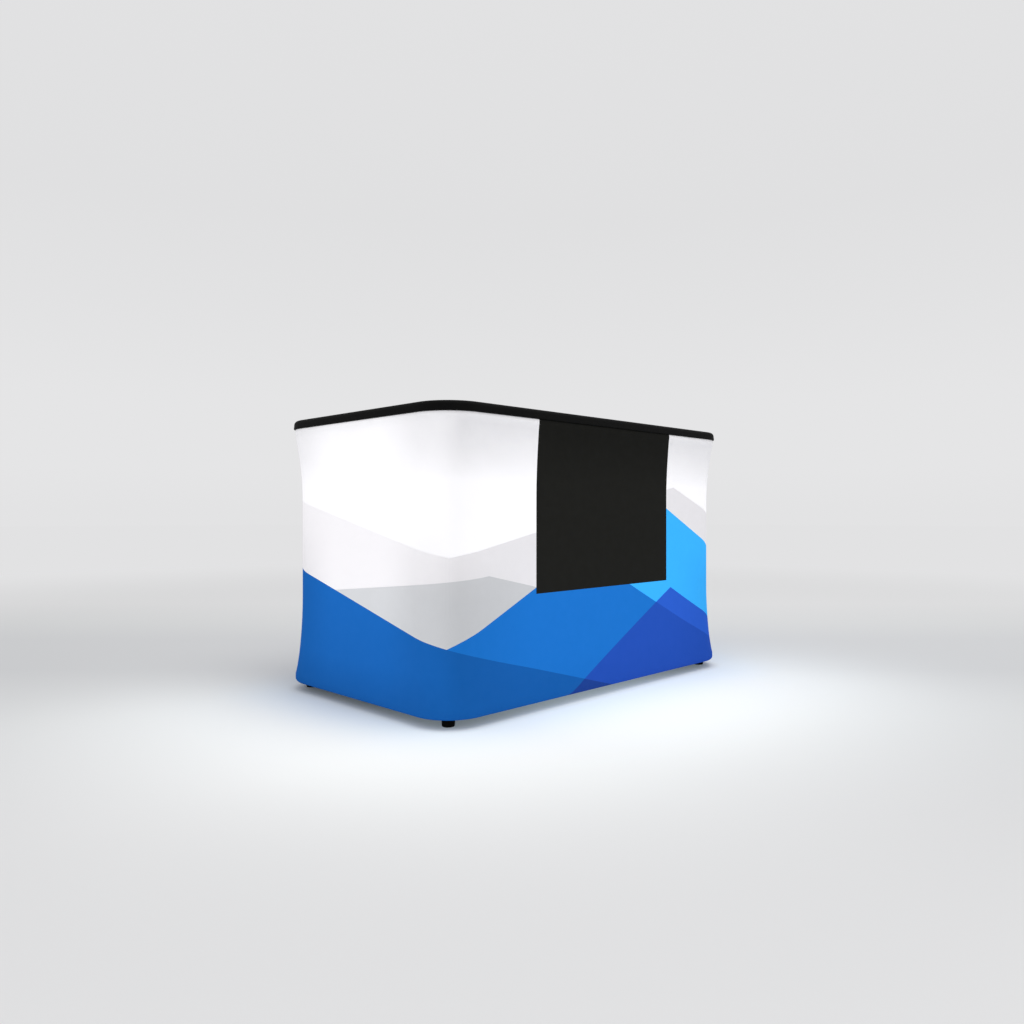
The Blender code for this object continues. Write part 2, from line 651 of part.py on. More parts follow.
def make_valve(ring_saddle, body_look, cap_look):
    """Valve body on the ring, its quarter-turn cap and its push pin."""
    x, y = valve_place()
    ring_top = LOWER_RING_HEIGHT + RING_RADIUS
    body_top = ring_top + VALVE_RISE
    web_top = body_top - VALVE_WEB_DROP
    web_bottom = web_top - VALVE_WEB
    pin_hole = PIN_RADIUS + SCREW_CLEARANCE
    seat_bottom = ring_top - VALVE_SEAT_HEIGHT
    profile = [
        (VALVE_BORE_RADIUS, seat_bottom),
        (VALVE_RADIUS, seat_bottom),
        (VALVE_RADIUS, body_top),
        (VALVE_BORE_RADIUS, body_top),
        (VALVE_BORE_RADIUS, web_top),
        (pin_hole, web_top),
        (pin_hole, web_bottom),
        (VALVE_BORE_RADIUS, web_bottom),
    ]
    body = place("valve_body", turned_mesh("valve_body", profile), body_look, (x, y, 0))
    combine(body, ring_saddle)

    plug_radius = VALVE_BORE_RADIUS - FIT_GAP
    cap_profile = [
        (plug_radius, -CAP_PLUG_HEIGHT),
        (plug_radius, 0),
        (CAP_RADIUS, 0),
        (CAP_RADIUS, CAP_HEIGHT),
    ]
    cap_seat = body_top + FIT_GAP
    cap_mesh = turned_mesh("valve_cap", cap_profile, closed=False)
    cap = place("valve_cap", cap_mesh, cap_look, (x, y, cap_seat))
    grip_reach = CAP_RADIUS - FIT_GAP
    grip_low = (-grip_reach, -CAP_GRIP_WIDTH / 2, CAP_HEIGHT / 2)
    grip_high = (grip_reach, CAP_GRIP_WIDTH / 2, CAP_HEIGHT + CAP_GRIP_HEIGHT)
    grip = cutter("valve_cap_grip", block_mesh("valve_cap_grip", (grip_low, grip_high)))
    grip.parent = cap
    combine(cap, grip, "UNION")

    head_bottom = web_top + PIN_TRAVEL
    seal_top = web_bottom - FIT_GAP
    pin_profile = [
        (PIN_SEAL_RADIUS, seal_top - PIN_SEAL_HEIGHT - head_bottom),
        (PIN_SEAL_RADIUS, seal_top - head_bottom),
        (PIN_RADIUS, seal_top - head_bottom),
        (PIN_RADIUS, 0),
        (PIN_HEAD_RADIUS, 0),
        (PIN_HEAD_RADIUS, PIN_HEAD_HEIGHT),
    ]
    pin_mesh = turned_mesh("valve_pin", pin_profile, closed=False, sides=ROUND_SIDES)
    place("valve_pin", pin_mesh, cap_look, (x, y, head_bottom))


def bar_shapes(kind, length):
    """Housing, board and lens of a light bar of one length, with the lamp side up."""
    half = HOUSING_WIDTH / 2
    inner = half - HOUSING_WALL
    housing_outline = [
        (-half, 0),
        (half, 0),
        (half, HOUSING_HEIGHT),
        (inner, HOUSING_HEIGHT),
        (inner, HOUSING_WALL),
        (-inner, HOUSING_WALL),
        (-inner, HOUSING_HEIGHT),
        (-half, HOUSING_HEIGHT),
    ]
    lens_half = inner - FIT_GAP
    lens_low = HOUSING_HEIGHT - LENS_DEPTH
    lens_crown = HOUSING_HEIGHT + LENS_CROWN
    lens_outline = [
        (-lens_half, lens_low),
        (lens_half, lens_low),
        (lens_half, HOUSING_HEIGHT),
        (lens_half / 2, lens_crown),
        (-lens_half / 2, lens_crown),
        (-lens_half, HOUSING_HEIGHT),
    ]
    board_half = BOARD_WIDTH / 2
    board_low = HOUSING_WALL + FIT_GAP
    board_high = board_low + BOARD_THICKNESS
    board_outline = [
        (-board_half, board_low),
        (board_half, board_low),
        (board_half, board_high),
        (-board_half, board_high),
    ]
    board_length = length - BOARD_END_GAP * 2
    return {
        "led_housing": bar_mesh(f"led_housing_{kind}", housing_outline, length),
        "led_board": bar_mesh(f"led_board_{kind}", board_outline, board_length),
        "led_lens": bar_mesh(f"led_lens_{kind}", lens_outline, length),
    }


def make_light_bars(looks, clip_look):
    """Four light bars clipped to the inner strip of the base frame, shining up."""
    half = HOUSING_WIDTH / 2 + FIT_GAP
    clip_outline = [
        (-half - CLIP_WALL, -CLIP_WALL - FIT_GAP),
        (half + CLIP_WALL, -CLIP_WALL - FIT_GAP),
        (half + CLIP_WALL, CLIP_ARM),
        (half, CLIP_ARM),
        (half, -FIT_GAP),
        (-half, -FIT_GAP),
        (-half, CLIP_ARM),
        (-half - CLIP_WALL, CLIP_ARM),
    ]
    clip = bar_mesh("led_bracket", clip_outline, CLIP_LENGTH)
    long_shapes = bar_shapes("long", LONG_BAR_LENGTH)
    short_shapes = bar_shapes("short", SHORT_BAR_LENGTH)
    reach_x = TOP_LENGTH / 2 - BAR_INSET
    reach_y = TOP_DEPTH / 2 - BAR_INSET
    for side, shapes, length, x, y, turn in (
        ("front", long_shapes, LONG_BAR_LENGTH, 0, -reach_y, 0),
        ("rear", long_shapes, LONG_BAR_LENGTH, 0, reach_y, 0),
        ("left", short_shapes, SHORT_BAR_LENGTH, -reach_x, 0, math.pi / 2),
        ("right", short_shapes, SHORT_BAR_LENGTH, reach_x, 0, math.pi / 2),
    ):
        for kind, mesh in shapes.items():
            place(f"{kind}_{side}", mesh, looks[kind], (x, y, HOUSING_BOTTOM), (0, 0, turn))
        clip_reach = length * (1 - CLIP_END_SHARE * 2) / 2
        for number, end in enumerate((-1, 1), start=1):
            along = Vector((end * clip_reach, 0, 0))
            along.rotate(Matrix.Rotation(turn, 3, "Z"))
            seat = (x + along.x, y + along.y, HOUSING_BOTTOM)
            place(f"led_bracket_{side}_{number}", clip, clip_look, seat, (0, 0, turn))


def lead(name, knots, look):
    """A wire on a smooth curve. Each knot is a place and the direction of travel with its reach."""
    points = []
    for (start, leaving), (end, arriving) in zip(knots, knots[1:]):
        start, end = Vector(start), Vector(end)
        leaving, arriving = Vector(leaving), Vector(arriving)
        handles = (start, start + leaving, end - arriving, end)
        points += interpolate_bezier(*handles, LEAD_STEPS + 1)[:-1]
    points.append(Vector(knots[-1][0]))
    curve = bpy.data.curves.new(name, "CURVE")
    curve.dimensions = "3D"
    curve.bevel_depth = LEAD_RADIUS
    curve.bevel_resolution = 2
    curve.use_fill_caps = True
    spline = curve.splines.new("POLY")
    spline.points.add(len(points) - 1)
    for control, point in zip(spline.points, points):
        control.co = (*point, 1.0)
    place(name, curve, look)


def make_wiring(look):
    """Leads from bar to bar over the crossbars, and the one from the power supply."""
    end_x = LONG_BAR_LENGTH / 2 - BOARD_END_GAP + FIT_GAP
    end_y = SHORT_BAR_LENGTH / 2 - BOARD_END_GAP + FIT_GAP
    reach_x = TOP_LENGTH / 2 - BAR_INSET
    reach_y = TOP_DEPTH / 2 - BAR_INSET
    channel = HOUSING_FLOOR + FIT_GAP + LEAD_RADIUS
    floor = BASE_FLOOR + FIT_GAP + LEAD_RADIUS
    over_bar = CROSSBAR_TOP + LEAD_CROSSBAR_CLEARANCE + LEAD_RADIUS
    exit_x = LONG_BAR_LENGTH / 2 + LEAD_RADIUS
    exit_y = SHORT_BAR_LENGTH / 2 + LEAD_RADIUS
    tail = LEAD_TAIL
    corner = LEAD_CORNER_REACH
    bar_near = CROSSBAR_OFFSET - CROSSBAR_WIDTH / 2
    bar_far = CROSSBAR_OFFSET + CROSSBAR_WIDTH / 2
    for corner_name, side_x, side_y in CORNERS[:3]:
        inner = tail / 2
        turn = corner / 2
        knots = [
            ((side_x * end_x, side_y * reach_y, channel), (side_x * inner, 0, 0)),
            ((side_x * exit_x, side_y * reach_y, channel), (side_x * inner, 0, 0)),
            ((side_x * bar_near, side_y * reach_y, over_bar), (side_x * inner, 0, 0)),
            ((side_x * bar_far, side_y * reach_y, over_bar), (side_x * inner, 0, 0)),
            ((side_x * (reach_x - corner), side_y * reach_y, floor), (side_x * inner, 0, 0)),
            ((side_x * reach_x, side_y * (reach_y - corner), floor), (0, -side_y * turn, 0)),
            ((side_x * reach_x, side_y * exit_y, channel), (0, -side_y * inner, 0)),
            ((side_x * reach_x, side_y * end_y, channel), (0, -side_y * inner, 0)),
        ]
        lead(f"corner_lead_{corner_name}", knots, look)

    supply_middle = CROSSBAR_TOP + FIT_GAP + SUPPLY_HEIGHT / 2
    bend_y = reach_y - corner
    supply_knots = [
        ((CROSSBAR_OFFSET, SUPPLY_REAR + FIT_GAP, supply_middle), (0, corner, 0)),
        (((CROSSBAR_OFFSET + reach_x) / 2, bend_y, over_bar), (corner / 2, corner / 2, 0)),
        ((reach_x, (exit_y + bend_y) / 2, floor), (0, -tail, 0)),
        ((reach_x, exit_y, channel), (0, -tail / 2, 0)),
        ((reach_x, end_y, channel), (0, -tail / 2, 0)),
    ]
    lead("driver_lead", supply_knots, look)


def make_power(case_look, inlet_look, rocker_look):
    """The power supply on the right crossbar, with its mains inlet and rocker switch facing the front."""
    base = CROSSBAR_TOP + FIT_GAP
    middle = base + SUPPLY_HEIGHT / 2
    front = SUPPLY_REAR - SUPPLY_LENGTH
    half = SUPPLY_WIDTH / 2
    case_low = (CROSSBAR_OFFSET - half, front, base)
    case_high = (CROSSBAR_OFFSET + half, SUPPLY_REAR, base + SUPPLY_HEIGHT)
    case = place("power_supply", block_mesh("power_supply", (case_low, case_high)), case_look)
    soften(case, SUPPLY_EDGE)

    inlet_x = CROSSBAR_OFFSET + INLET_OFFSET
    hole_half_x = INLET_WIDTH / 2 + FIT_GAP
    hole_half_z = INLET_HEIGHT / 2 + FIT_GAP
    hole_low = (inlet_x - hole_half_x, front - CUT_OVERRUN, middle - hole_half_z)
    hole_high = (inlet_x + hole_half_x, front + INLET_DEPTH + FIT_GAP, middle + hole_half_z)
    switch_x = CROSSBAR_OFFSET + SWITCH_OFFSET
    pocket_half_x = SWITCH_POCKET_WIDTH / 2
    pocket_half_z = SWITCH_POCKET_HEIGHT / 2
    pocket_low = (switch_x - pocket_half_x, front - CUT_OVERRUN, middle - pocket_half_z)
    pocket_high = (switch_x + pocket_half_x, front + SWITCH_POCKET_DEPTH, middle + pocket_half_z)
    cuts = block_mesh("supply_cuts", (hole_low, hole_high), (pocket_low, pocket_high))
    combine(case, cutter("supply_cuts", cuts))

    pivot_y = front + ROCKER_PIVOT_DEPTH
    sideways = Matrix.Rotation(math.pi / 2, 4, "Y")
    trunnion_hole = bmesh.new()
    hole_length = SWITCH_POCKET_WIDTH + (TRUNNION_LENGTH + FIT_GAP) * 2
    bmesh.ops.create_cone(
        trunnion_hole,
        cap_ends=True,
        segments=ROUND_SIDES,
        radius1=TRUNNION_RADIUS + FIT_GAP,
        radius2=TRUNNION_RADIUS + FIT_GAP,
        depth=hole_length,
        matrix=Matrix.Translation((switch_x, pivot_y, middle)) @ sideways,
    )
    combine(case, cutter("trunnion_hole", finished_mesh("trunnion_hole", trunnion_hole)))

    body_low = (inlet_x - INLET_WIDTH / 2, front - FIT_GAP * 2, middle - INLET_HEIGHT / 2)
    body_high = (inlet_x + INLET_WIDTH / 2, front + INLET_DEPTH, middle + INLET_HEIGHT / 2)
    flange_back = front - FIT_GAP
    flange_front = flange_back - INLET_FLANGE
    flange_low = (inlet_x - INLET_FLANGE_WIDTH / 2, flange_front, middle - INLET_FLANGE_HEIGHT / 2)
    flange_high = (inlet_x + INLET_FLANGE_WIDTH / 2, flange_back, middle + INLET_FLANGE_HEIGHT / 2)
    inlet = place("power_inlet", block_mesh("power_inlet", (flange_low, flange_high)), inlet_look)
    combine(inlet, cutter("inlet_body", block_mesh("inlet_body", (body_low, body_high))), "UNION")
    socket_floor = flange_front + SOCKET_DEPTH
    socket_low = (inlet_x - SOCKET_WIDTH / 2, flange_front - CUT_OVERRUN, middle - SOCKET_HEIGHT / 2)
    socket_high = (inlet_x + SOCKET_WIDTH / 2, socket_floor, middle + SOCKET_HEIGHT / 2)
    combine(inlet, cutter("socket_cavity", block_mesh("socket_cavity", (socket_low, socket_high))))
    contacts = []
    for across, up in ((-1, -1), (0, 1), (1, -1)):
        centre_x = inlet_x + across * CONTACT_SPREAD
        centre_z = middle + up * CONTACT_RISE
        low = (centre_x - CONTACT_WIDTH / 2, flange_front + CONTACT_SETBACK, centre_z - CONTACT_HEIGHT / 2)
        high = (centre_x + CONTACT_WIDTH / 2, socket_floor + CONTACT_WIDTH, centre_z + CONTACT_HEIGHT / 2)
        contacts.append((low, high))
    combine(inlet, cutter("inlet_contacts", block_mesh("inlet_contacts", *contacts)), "UNION")

    rocker_half = ROCKER_HEIGHT / 2
    rocker_outline = [
        (ROCKER_BACK, -rocker_half),
        (ROCKER_BACK, rocker_half),
        (-ROCKER_FRONT, rocker_half),
        (-ROCKER_FRONT + ROCKER_DISH, 0),
        (-ROCKER_FRONT, -rocker_half),
    ]
    rocker_mesh = bar_mesh("rocker_switch", rocker_outline, ROCKER_WIDTH)
    pivot = (switch_x, pivot_y, middle)
    rocker = place("rocker_switch", rocker_mesh, rocker_look, pivot, (-ROCKER_TILT, 0, 0))
    trunnion = bmesh.new()
    bmesh.ops.create_cone(
        trunnion,
        cap_ends=True,
        segments=ROUND_SIDES,
        radius1=TRUNNION_RADIUS,
        radius2=TRUNNION_RADIUS,
        depth=ROCKER_WIDTH + TRUNNION_LENGTH * 2,
        matrix=sideways,
    )
    pin = cutter("rocker_trunnion", finished_mesh("rocker_trunnion", trunnion))
    pin.parent = rocker
    combine(rocker, pin, "UNION")


def make_zip(chain_look, slider_look):
    """The rear zip: chain, slider and hanging pull."""
    half = CHAIN_WIDTH / 2
    skin_face = TOP_DEPTH / 2 - skin_inset_at(ZIP_HEIGHT - half)
    chain_back = skin_face + FIT_GAP
    chain_front = chain_back + CHAIN_THICKNESS
    chain_low = (-ZIP_LENGTH / 2, chain_back, ZIP_HEIGHT - half)
    chain_high = (ZIP_LENGTH / 2, chain_front, ZIP_HEIGHT + half)
    place("zip_chain", block_mesh("zip_chain", (chain_low, chain_high)), chain_look)

    inner_half = half + FIT_GAP
    outer_half = inner_half + SLIDER_LIP
    plate_back = FIT_GAP
    plate_front = plate_back + SLIDER_WALL
    lip_end = plate_back - SLIDER_WRAP
    slider_outline = [
        (plate_front, -outer_half),
        (plate_front, outer_half),
        (lip_end, outer_half),
        (lip_end, inner_half),
        (plate_back, inner_half),
        (plate_back, -inner_half),
        (lip_end, -inner_half),
        (lip_end, -outer_half),
    ]
    start = (-ZIP_LENGTH / 2 + SLIDER_END_OFFSET, chain_front, ZIP_HEIGHT)
    slider = place("zip_slider", bar_mesh("zip_slider", slider_outline, SLIDER_LENGTH), slider_look, start)
    arch_half = ARCH_HEIGHT / 2
    leg_half = arch_half - ARCH_WALL
    arch_root = plate_front - SLIDER_WALL / 2
    arch_inner = plate_front + ARCH_GAP
    arch_outer = arch_inner + ARCH_WALL
    arch_outline = [
        (arch_root, -arch_half),
        (arch_outer, -arch_half),
        (arch_outer, arch_half),
        (arch_root, arch_half),
        (arch_root, leg_half),
        (arch_inner, leg_half),
        (arch_inner, -leg_half),
        (arch_root, -leg_half),
    ]
    arch = cutter("slider_arch", bar_mesh("slider_arch", arch_outline, ARCH_WIDTH))
    arch.parent = slider
    combine(slider, arch, "UNION")

    hinge = (0, plate_front + ARCH_GAP / 2, 0)
    bar_half = PULL_BAR / 2
    pull_low = (-PULL_WIDTH / 2, -bar_half, bar_half - PULL_LENGTH)
    pull_high = (PULL_WIDTH / 2, bar_half, bar_half)
    pull = place("zip_pull", block_mesh("zip_pull", (pull_low, pull_high)), slider_look, hinge)
    pull.parent = slider
    hole_low = (-PULL_HOLE_WIDTH / 2, -bar_half - CUT_OVERRUN, -bar_half - PULL_HOLE_LENGTH)
    hole_high = (PULL_HOLE_WIDTH / 2, bar_half + CUT_OVERRUN, -bar_half)
    hole = cutter("pull_hole", block_mesh("pull_hole", (hole_low, hole_high)))
    hole.parent = pull
    combine(pull, hole)


def main():
    clear_scene()
    top_black = material("top_plastic", (0.010, 0.010, 0.009), 0.42)
    rib_black = material("rib_plastic", (0.020, 0.020, 0.020), 0.6)
    frame_plastic = material("frame_plastic", (0.045, 0.046, 0.048), 0.55)
    skin_cloth = material("skin_print", (0.86, 0.87, 0.89), 0.8)
    cord_elastic = material("elastic", (0.03, 0.03, 0.03), 0.85)
    foot_rubber = material("foot_rubber", (0.012, 0.012, 0.012), 0.75)
    steel = material("steel", (0.55, 0.55, 0.56), 0.35, 1.0)
    foam = material("pad_foam", (0.08, 0.08, 0.085), 0.95)
    bladder = material("bladder", (0.80, 0.82, 0.84), 0.4)
    aluminium = material("bar_aluminium", (0.72, 0.73, 0.74), 0.38, 1.0)
    board_white = material("led_board", (0.85, 0.85, 0.82), 0.45)
    lens_opal = material("led_lens", (0.90, 0.92, 0.95), 0.3)
    wire_black = material("wire", (0.02, 0.02, 0.02), 0.6)
    case_grey = material("supply_case", (0.33, 0.34, 0.36), 0.45, 0.6)
    inlet_black = material("inlet_plastic", (0.015, 0.015, 0.015), 0.4)
    rocker_red = material("rocker_plastic", (0.45, 0.02, 0.02), 0.35)
    valve_grey = material("valve_plastic", (0.18, 0.19, 0.20), 0.45)
    zip_white = material("zip_plastic", (0.75, 0.76, 0.78), 0.5)
    zip_metal = material("zip_metal", (0.62, 0.62, 0.64), 0.3, 1.0)

    make_countertop(top_black, rib_black)
    make_skin(skin_cloth, cord_elastic)
    make_base(frame_plastic, foam, aluminium)
    make_top_frame(frame_plastic)
    make_feet(foot_rubber, steel)
    ring_saddle = make_air_core(bladder)
    make_valve(ring_saddle, valve_grey, valve_grey)
    make_light_bars({"led_housing": aluminium, "led_board": board_white, "led_lens": lens_opal}, steel)
    make_wiring(wire_black)
    make_power(case_grey, inlet_black, rocker_red)
    make_zip(zip_white, zip_metal)


main()
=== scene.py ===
"""Looks of the backlit exhibition counter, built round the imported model.

Lengths are metres in the model's own frame: Z up, the front faces -Y, the floor is at 0.
"""

from math import atan2, copysign, cos, exp, hypot, pi, radians, sin, sqrt, tau

import bmesh
import bpy
from mathutils import Matrix, Vector, noise
from mathutils.geometry import interpolate_bezier


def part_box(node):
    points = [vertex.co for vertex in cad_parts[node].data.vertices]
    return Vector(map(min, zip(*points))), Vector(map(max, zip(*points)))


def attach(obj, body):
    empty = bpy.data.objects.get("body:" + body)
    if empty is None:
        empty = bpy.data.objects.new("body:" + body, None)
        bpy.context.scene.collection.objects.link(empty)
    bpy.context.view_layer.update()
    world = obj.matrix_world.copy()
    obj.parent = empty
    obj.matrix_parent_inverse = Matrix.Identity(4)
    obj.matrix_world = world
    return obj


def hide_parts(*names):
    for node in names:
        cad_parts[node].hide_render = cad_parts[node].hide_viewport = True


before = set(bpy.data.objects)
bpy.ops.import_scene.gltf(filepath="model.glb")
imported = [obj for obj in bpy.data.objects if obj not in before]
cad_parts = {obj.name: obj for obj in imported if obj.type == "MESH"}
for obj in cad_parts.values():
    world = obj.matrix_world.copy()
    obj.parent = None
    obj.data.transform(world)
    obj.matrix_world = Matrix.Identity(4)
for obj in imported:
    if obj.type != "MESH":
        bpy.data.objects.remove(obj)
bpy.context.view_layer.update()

# Plan and heights, as the solids have them
HALF_LENGTH, HALF_DEPTH = 0.7965, 0.482
TOP_CORNER = 0.136
TOP_UNDERSIDE, FOLD_TOP = 0.968, 0.9677
FLAT_QUARTER = pi / 2
QUARTERS = ((1, 1), (-1, 1), (-1, -1), (1, -1))
CORNER_SIDES = {"front_left": (-1, -1), "front_right": (1, -1), "rear_left": (-1, 1), "rear_right": (1, 1)}
RIGHTWARDS, BACKWARDS, UPWARDS = Vector((1, 0, 0)), Vector((0, 1, 0)), Vector((0, 0, 1))

# Camera of the photograph
CAMERA_PLACE = (-2.3139, -2.2772, 0.6607)
CAMERA_TURN = (radians(90), 0, radians(-45))
CAMERA_LENS, CAMERA_SENSOR = 28.06, 36

# World light and the one lamp
WORLD_LIGHT = 0.76
LAMP_PLACE, LAMP_TARGET = Vector((0.6, -1.8, 6.2)), Vector((0, 0, 0.4))
LAMP_SIZE, LAMP_POWER = 5.0, 110

# Screen levels of the backdrop by slope, and of the floor by distance towards the rear right; the floor's
# darker band round and behind the counter is painted shade
BACKGROUND = (226, 226, 227)
BACKDROP_LEVELS = (
    (0, 227), (0.05, 229), (0.13, 229), (0.24, 226), (0.34, 224), (0.45, 225), (0.55, 226), (1, 226),
)
FLOOR_LEVELS = (
    (-2.3, (227, 227, 228)), (-1.5, (221, 221, 222)), (-0.7, (216, 217, 218)), (0.1, (207, 208, 210)),
    (0.9, (210, 211, 213)), (1.5, (218, 219, 220)), (2.5, (227, 227, 228)), (5.0, (231, 231, 232)),
)
FLOOR_RADIUS, FLOOR_FADE = 40, (3.2, 7.5)
# Painted pool of light that the counter throws on the floor, an emission in the floor: the footprint it is
# measured from, how far it reaches, its two colours and where one turns into the other, and where it dims
# under the counter's edge as painted shadow. Then, for the front and the left side, its strength, middle,
# spread, the two places it fades between, and its share under there
POOL_CORE, POOL_CORNER = (0.66, 0.35), 0.13
POOL_REACH = 1.473
POOL_COLOURS = ((0.82, 1.0, 1.14), (0.955, 1.0, 0.97))
POOL_TINT_REACH = (0.02, 0.32)
PAINTED_SHADOW_EDGE = (-0.02, 0.035)
POOL_FRONT = (0.872, 0.012, 1.088, 0.128, -1.155, 0.73)
POOL_LEFT = (0.531, -0.052, 0.993, -0.51, -1.352, 0.55)
FLOOR_GLOW = 0.02

# Fabric skin
SKIN_THICKNESS = 0.0015
BASE_INSET, BASE_RADIUS = 0.004, 0.1395
TOP_INSET, TOP_RADIUS = 0.0055, 0.1305
WAIST_INSET, WAIST_RADIUS = 0.0185, 0.154
EDGE_RADIUS, FOLD_RADIUS = 0.015, 0.003
HEM_BOTTOM, HEM_WIDTH, FOLD_WIDTH = 0.028, 0.025, 0.04
BASE_FLARE, TOP_FLARE = (0.058, 0.3), (0.955, 0.25)
# Distances round the skin from the front's middle: where each side and corner ends, and the corners' middles
HALF_STRAIGHT_X = HALF_LENGTH - WAIST_INSET - WAIST_RADIUS
HALF_STRAIGHT_Y = HALF_DEPTH - WAIST_INSET - WAIST_RADIUS
CORNER_RUN = WAIST_RADIUS * FLAT_QUARTER
SIDE_START = HALF_STRAIGHT_X + CORNER_RUN
SIDE_END = SIDE_START + HALF_STRAIGHT_Y * 2
REAR_START = HALF_STRAIGHT_X + CORNER_RUN * 2 + HALF_STRAIGHT_Y * 2
HALF_ROUND = HALF_STRAIGHT_X * 2 + CORNER_RUN * 2 + HALF_STRAIGHT_Y * 2
CORNER_MIDDLES = (HALF_STRAIGHT_X + CORNER_RUN / 2, HALF_ROUND - HALF_STRAIGHT_X - CORNER_RUN / 2)
# Height and reach of the pulls at a corner, their depth and rays, and the depths of the soft and low waves
PULLS, PULL_DEPTH, PULL_RAYS = ((0.955, 0.16), (0.05, 0.13)), 0.00035, 14
SOFT_DEPTH, LOW_DEPTH = 0.0005, 0.0004
# The lines of stitches in the hem and the fold, by their inset
HEM_LINE, FOLD_LINE = 0.0225, 0.0385

# Air-filled core
RING_INSET, RING_BEND, RING_RADIUS = 0.058, 0.120157, 0.0441
RING_HEIGHTS = {"lower": 0.082535, "upper": 0.918465}
POST_X, POST_Y, POST_RADIUS = 0.703307, 0.388807, 0.039
WELD_WIDTH = 0.0045
VALVE_X, VALVE_Y, CAP_SEAT = 0.35, 0.424, 0.143835
# Radius of the valve's opening in the lower ring, its floor, and a height above the film
VALVE_OPENING = (0.0125, 0.119, 0.14)

# Light bars: side, half length, middle and whether they run along Y
BARS = (
    ("front", 0.55, (0, -0.3645), False),
    ("rear", 0.55, (0, 0.3645), False),
    ("left", 0.25, (-0.679, 0), True),
    ("right", 0.25, (0.679, 0), True),
)
BOARD_END_GAP, CHIP_PITCH = 0.012, 0.0168

# Power supply and its inlet and switch
SUPPLY_X, SUPPLY_Y = 0.6, 0.07
INLET_PLACE = (0.582, -0.0223, 0.0664)
ROCKER_PIVOT, ROCKER_TILT = (0.626, -0.016, 0.0664), radians(-6)

# Rear zip
ZIP_HEIGHT, ZIP_HALF = 0.15, 0.55
CHAIN_BACK, CHAIN_FRONT = 0.47248, 0.474978
CHAIN_MIDDLE = (CHAIN_BACK + CHAIN_FRONT) / 2
SLIDER_X = -0.538
TAPE_INNER, TAPE_OUTER, TAPE_REACH = 0.0032, 0.016, ZIP_HALF + 0.012

# Printed fabric: sides and lower edge of the dark panel, and the ridges from back to front, each with its
# height at the rear seam and its corners round the counter
PANEL_SIDES, PANEL_BOTTOM = (-0.385, 0.371), 0.389
RIDGES = (
    ("skin_pale", 0.58, (-1.72, 0.74), (-0.74, 0.52), (0.42, 0.76), (1.15, 0.48), (1.8, 0.7)),
    ("skin_grey", 0.46, (-1.8, 0.34), (-0.6, 0.46), (0.3, 0.26), (1.2, 0.38), (1.75, 0.52)),
    (
        "skin_blue_light", 0.42,
        (-2.05, 0.22), (-0.3, 0.2), (0.32, 0.7), (0.98, 0.38), (1.45, 0.52), (1.9, 0.28),
    ),
    (
        "skin_blue_mid", 0.38,
        (-2.0, 0.22), (-1.05, 0.1), (-0.15, 0.52), (0.85, 0.05), (1.35, 0.06), (1.95, 0.4),
    ),
    (
        "skin_blue", 0.3,
        (-1.95, 0.24), (-1.62, 0.47), (-0.78, 0.25), (0.3, -0.05), (1.25, -0.05), (1.8, 0.34),
    ),
    ("overlay", -0.1, (-0.45, -0.08), (0.4, 0.36), (1.3, -0.08)),
)
RIDGE_LINES = {name: ((-HALF_ROUND, seam), *line, (HALF_ROUND, seam)) for name, seam, *line in RIDGES}
OVERLAID = {"skin_blue_light": "skin_violet", "skin_blue_mid": "skin_indigo", "skin_blue": "skin_navy"}
# Its colours: screen levels, then the painted glow, standing in for the light from inside, on the long sides
# and on the short ones
PRINT_COLOURS = {
    "skin_white": ((247, 246, 249), 0.285, 0.4),
    "skin_pale": ((226, 224, 227), 0.24, 0.52),
    "skin_grey": ((199, 200, 203), 0.22, 0.47),
    "skin_blue_light": ((57, 174, 251), 0.29, 0.4),
    "skin_blue_mid": ((28, 114, 202), 0.23, 0.42),
    "skin_blue": ((23, 94, 172), 0.22, 0.53),
    "skin_violet": ((43, 93, 202), 0.24, 0.32),
    "skin_indigo": ((36, 80, 180), 0.25, 0.25),
    "skin_navy": ((32, 66, 146), 0.22, 0.25),
    "skin_panel": ((28, 28, 26), 0.3, 0.3),
    "skin_inside": ((226, 227, 230), 0.22, 0.22),
}
SKIN_LOOKS = list(PRINT_COLOURS)
# Painted glow by height, lower near the rims as painted shade, with painted post shade: height, the share of
# the glow on the long sides and on the short ones, and how much a post keeps on each
PAINTED_GLOW_BY_HEIGHT = (
    (0.03, 0.25, 0.25, 0.5, 0.55), (0.16, 0.7, 0.76, 0.5, 0.6), (0.38, 1.00, 1.00, 0.5, 0.52),
    (0.52, 1.00, 1.00, 0.92, 0.68), (0.6, 1.00, 1.00, 0.92, 0.8), (0.68, 1.00, 1.00, 0.92, 0.88),
    (0.76, 1.00, 1.00, 0.92, 0.88), (0.86, 0.5, 0.98, 0.55, 0.56), (0.935, 0.12, 0.85, 0.5, 0.52),
    (0.951, 0.25, 0.7, 0.5, 0.52), (0.965, 0.6, 0.8, 0.5, 0.52),
)


# Materials

def srgb(*levels):
    """A colour from screen levels, 0 to 255."""
    shares = [level / 255 for level in levels]
    return tuple(c / 12.92 if c <= 0.04045 else ((c + 0.055) / 1.055) ** 2.4 for c in shares)


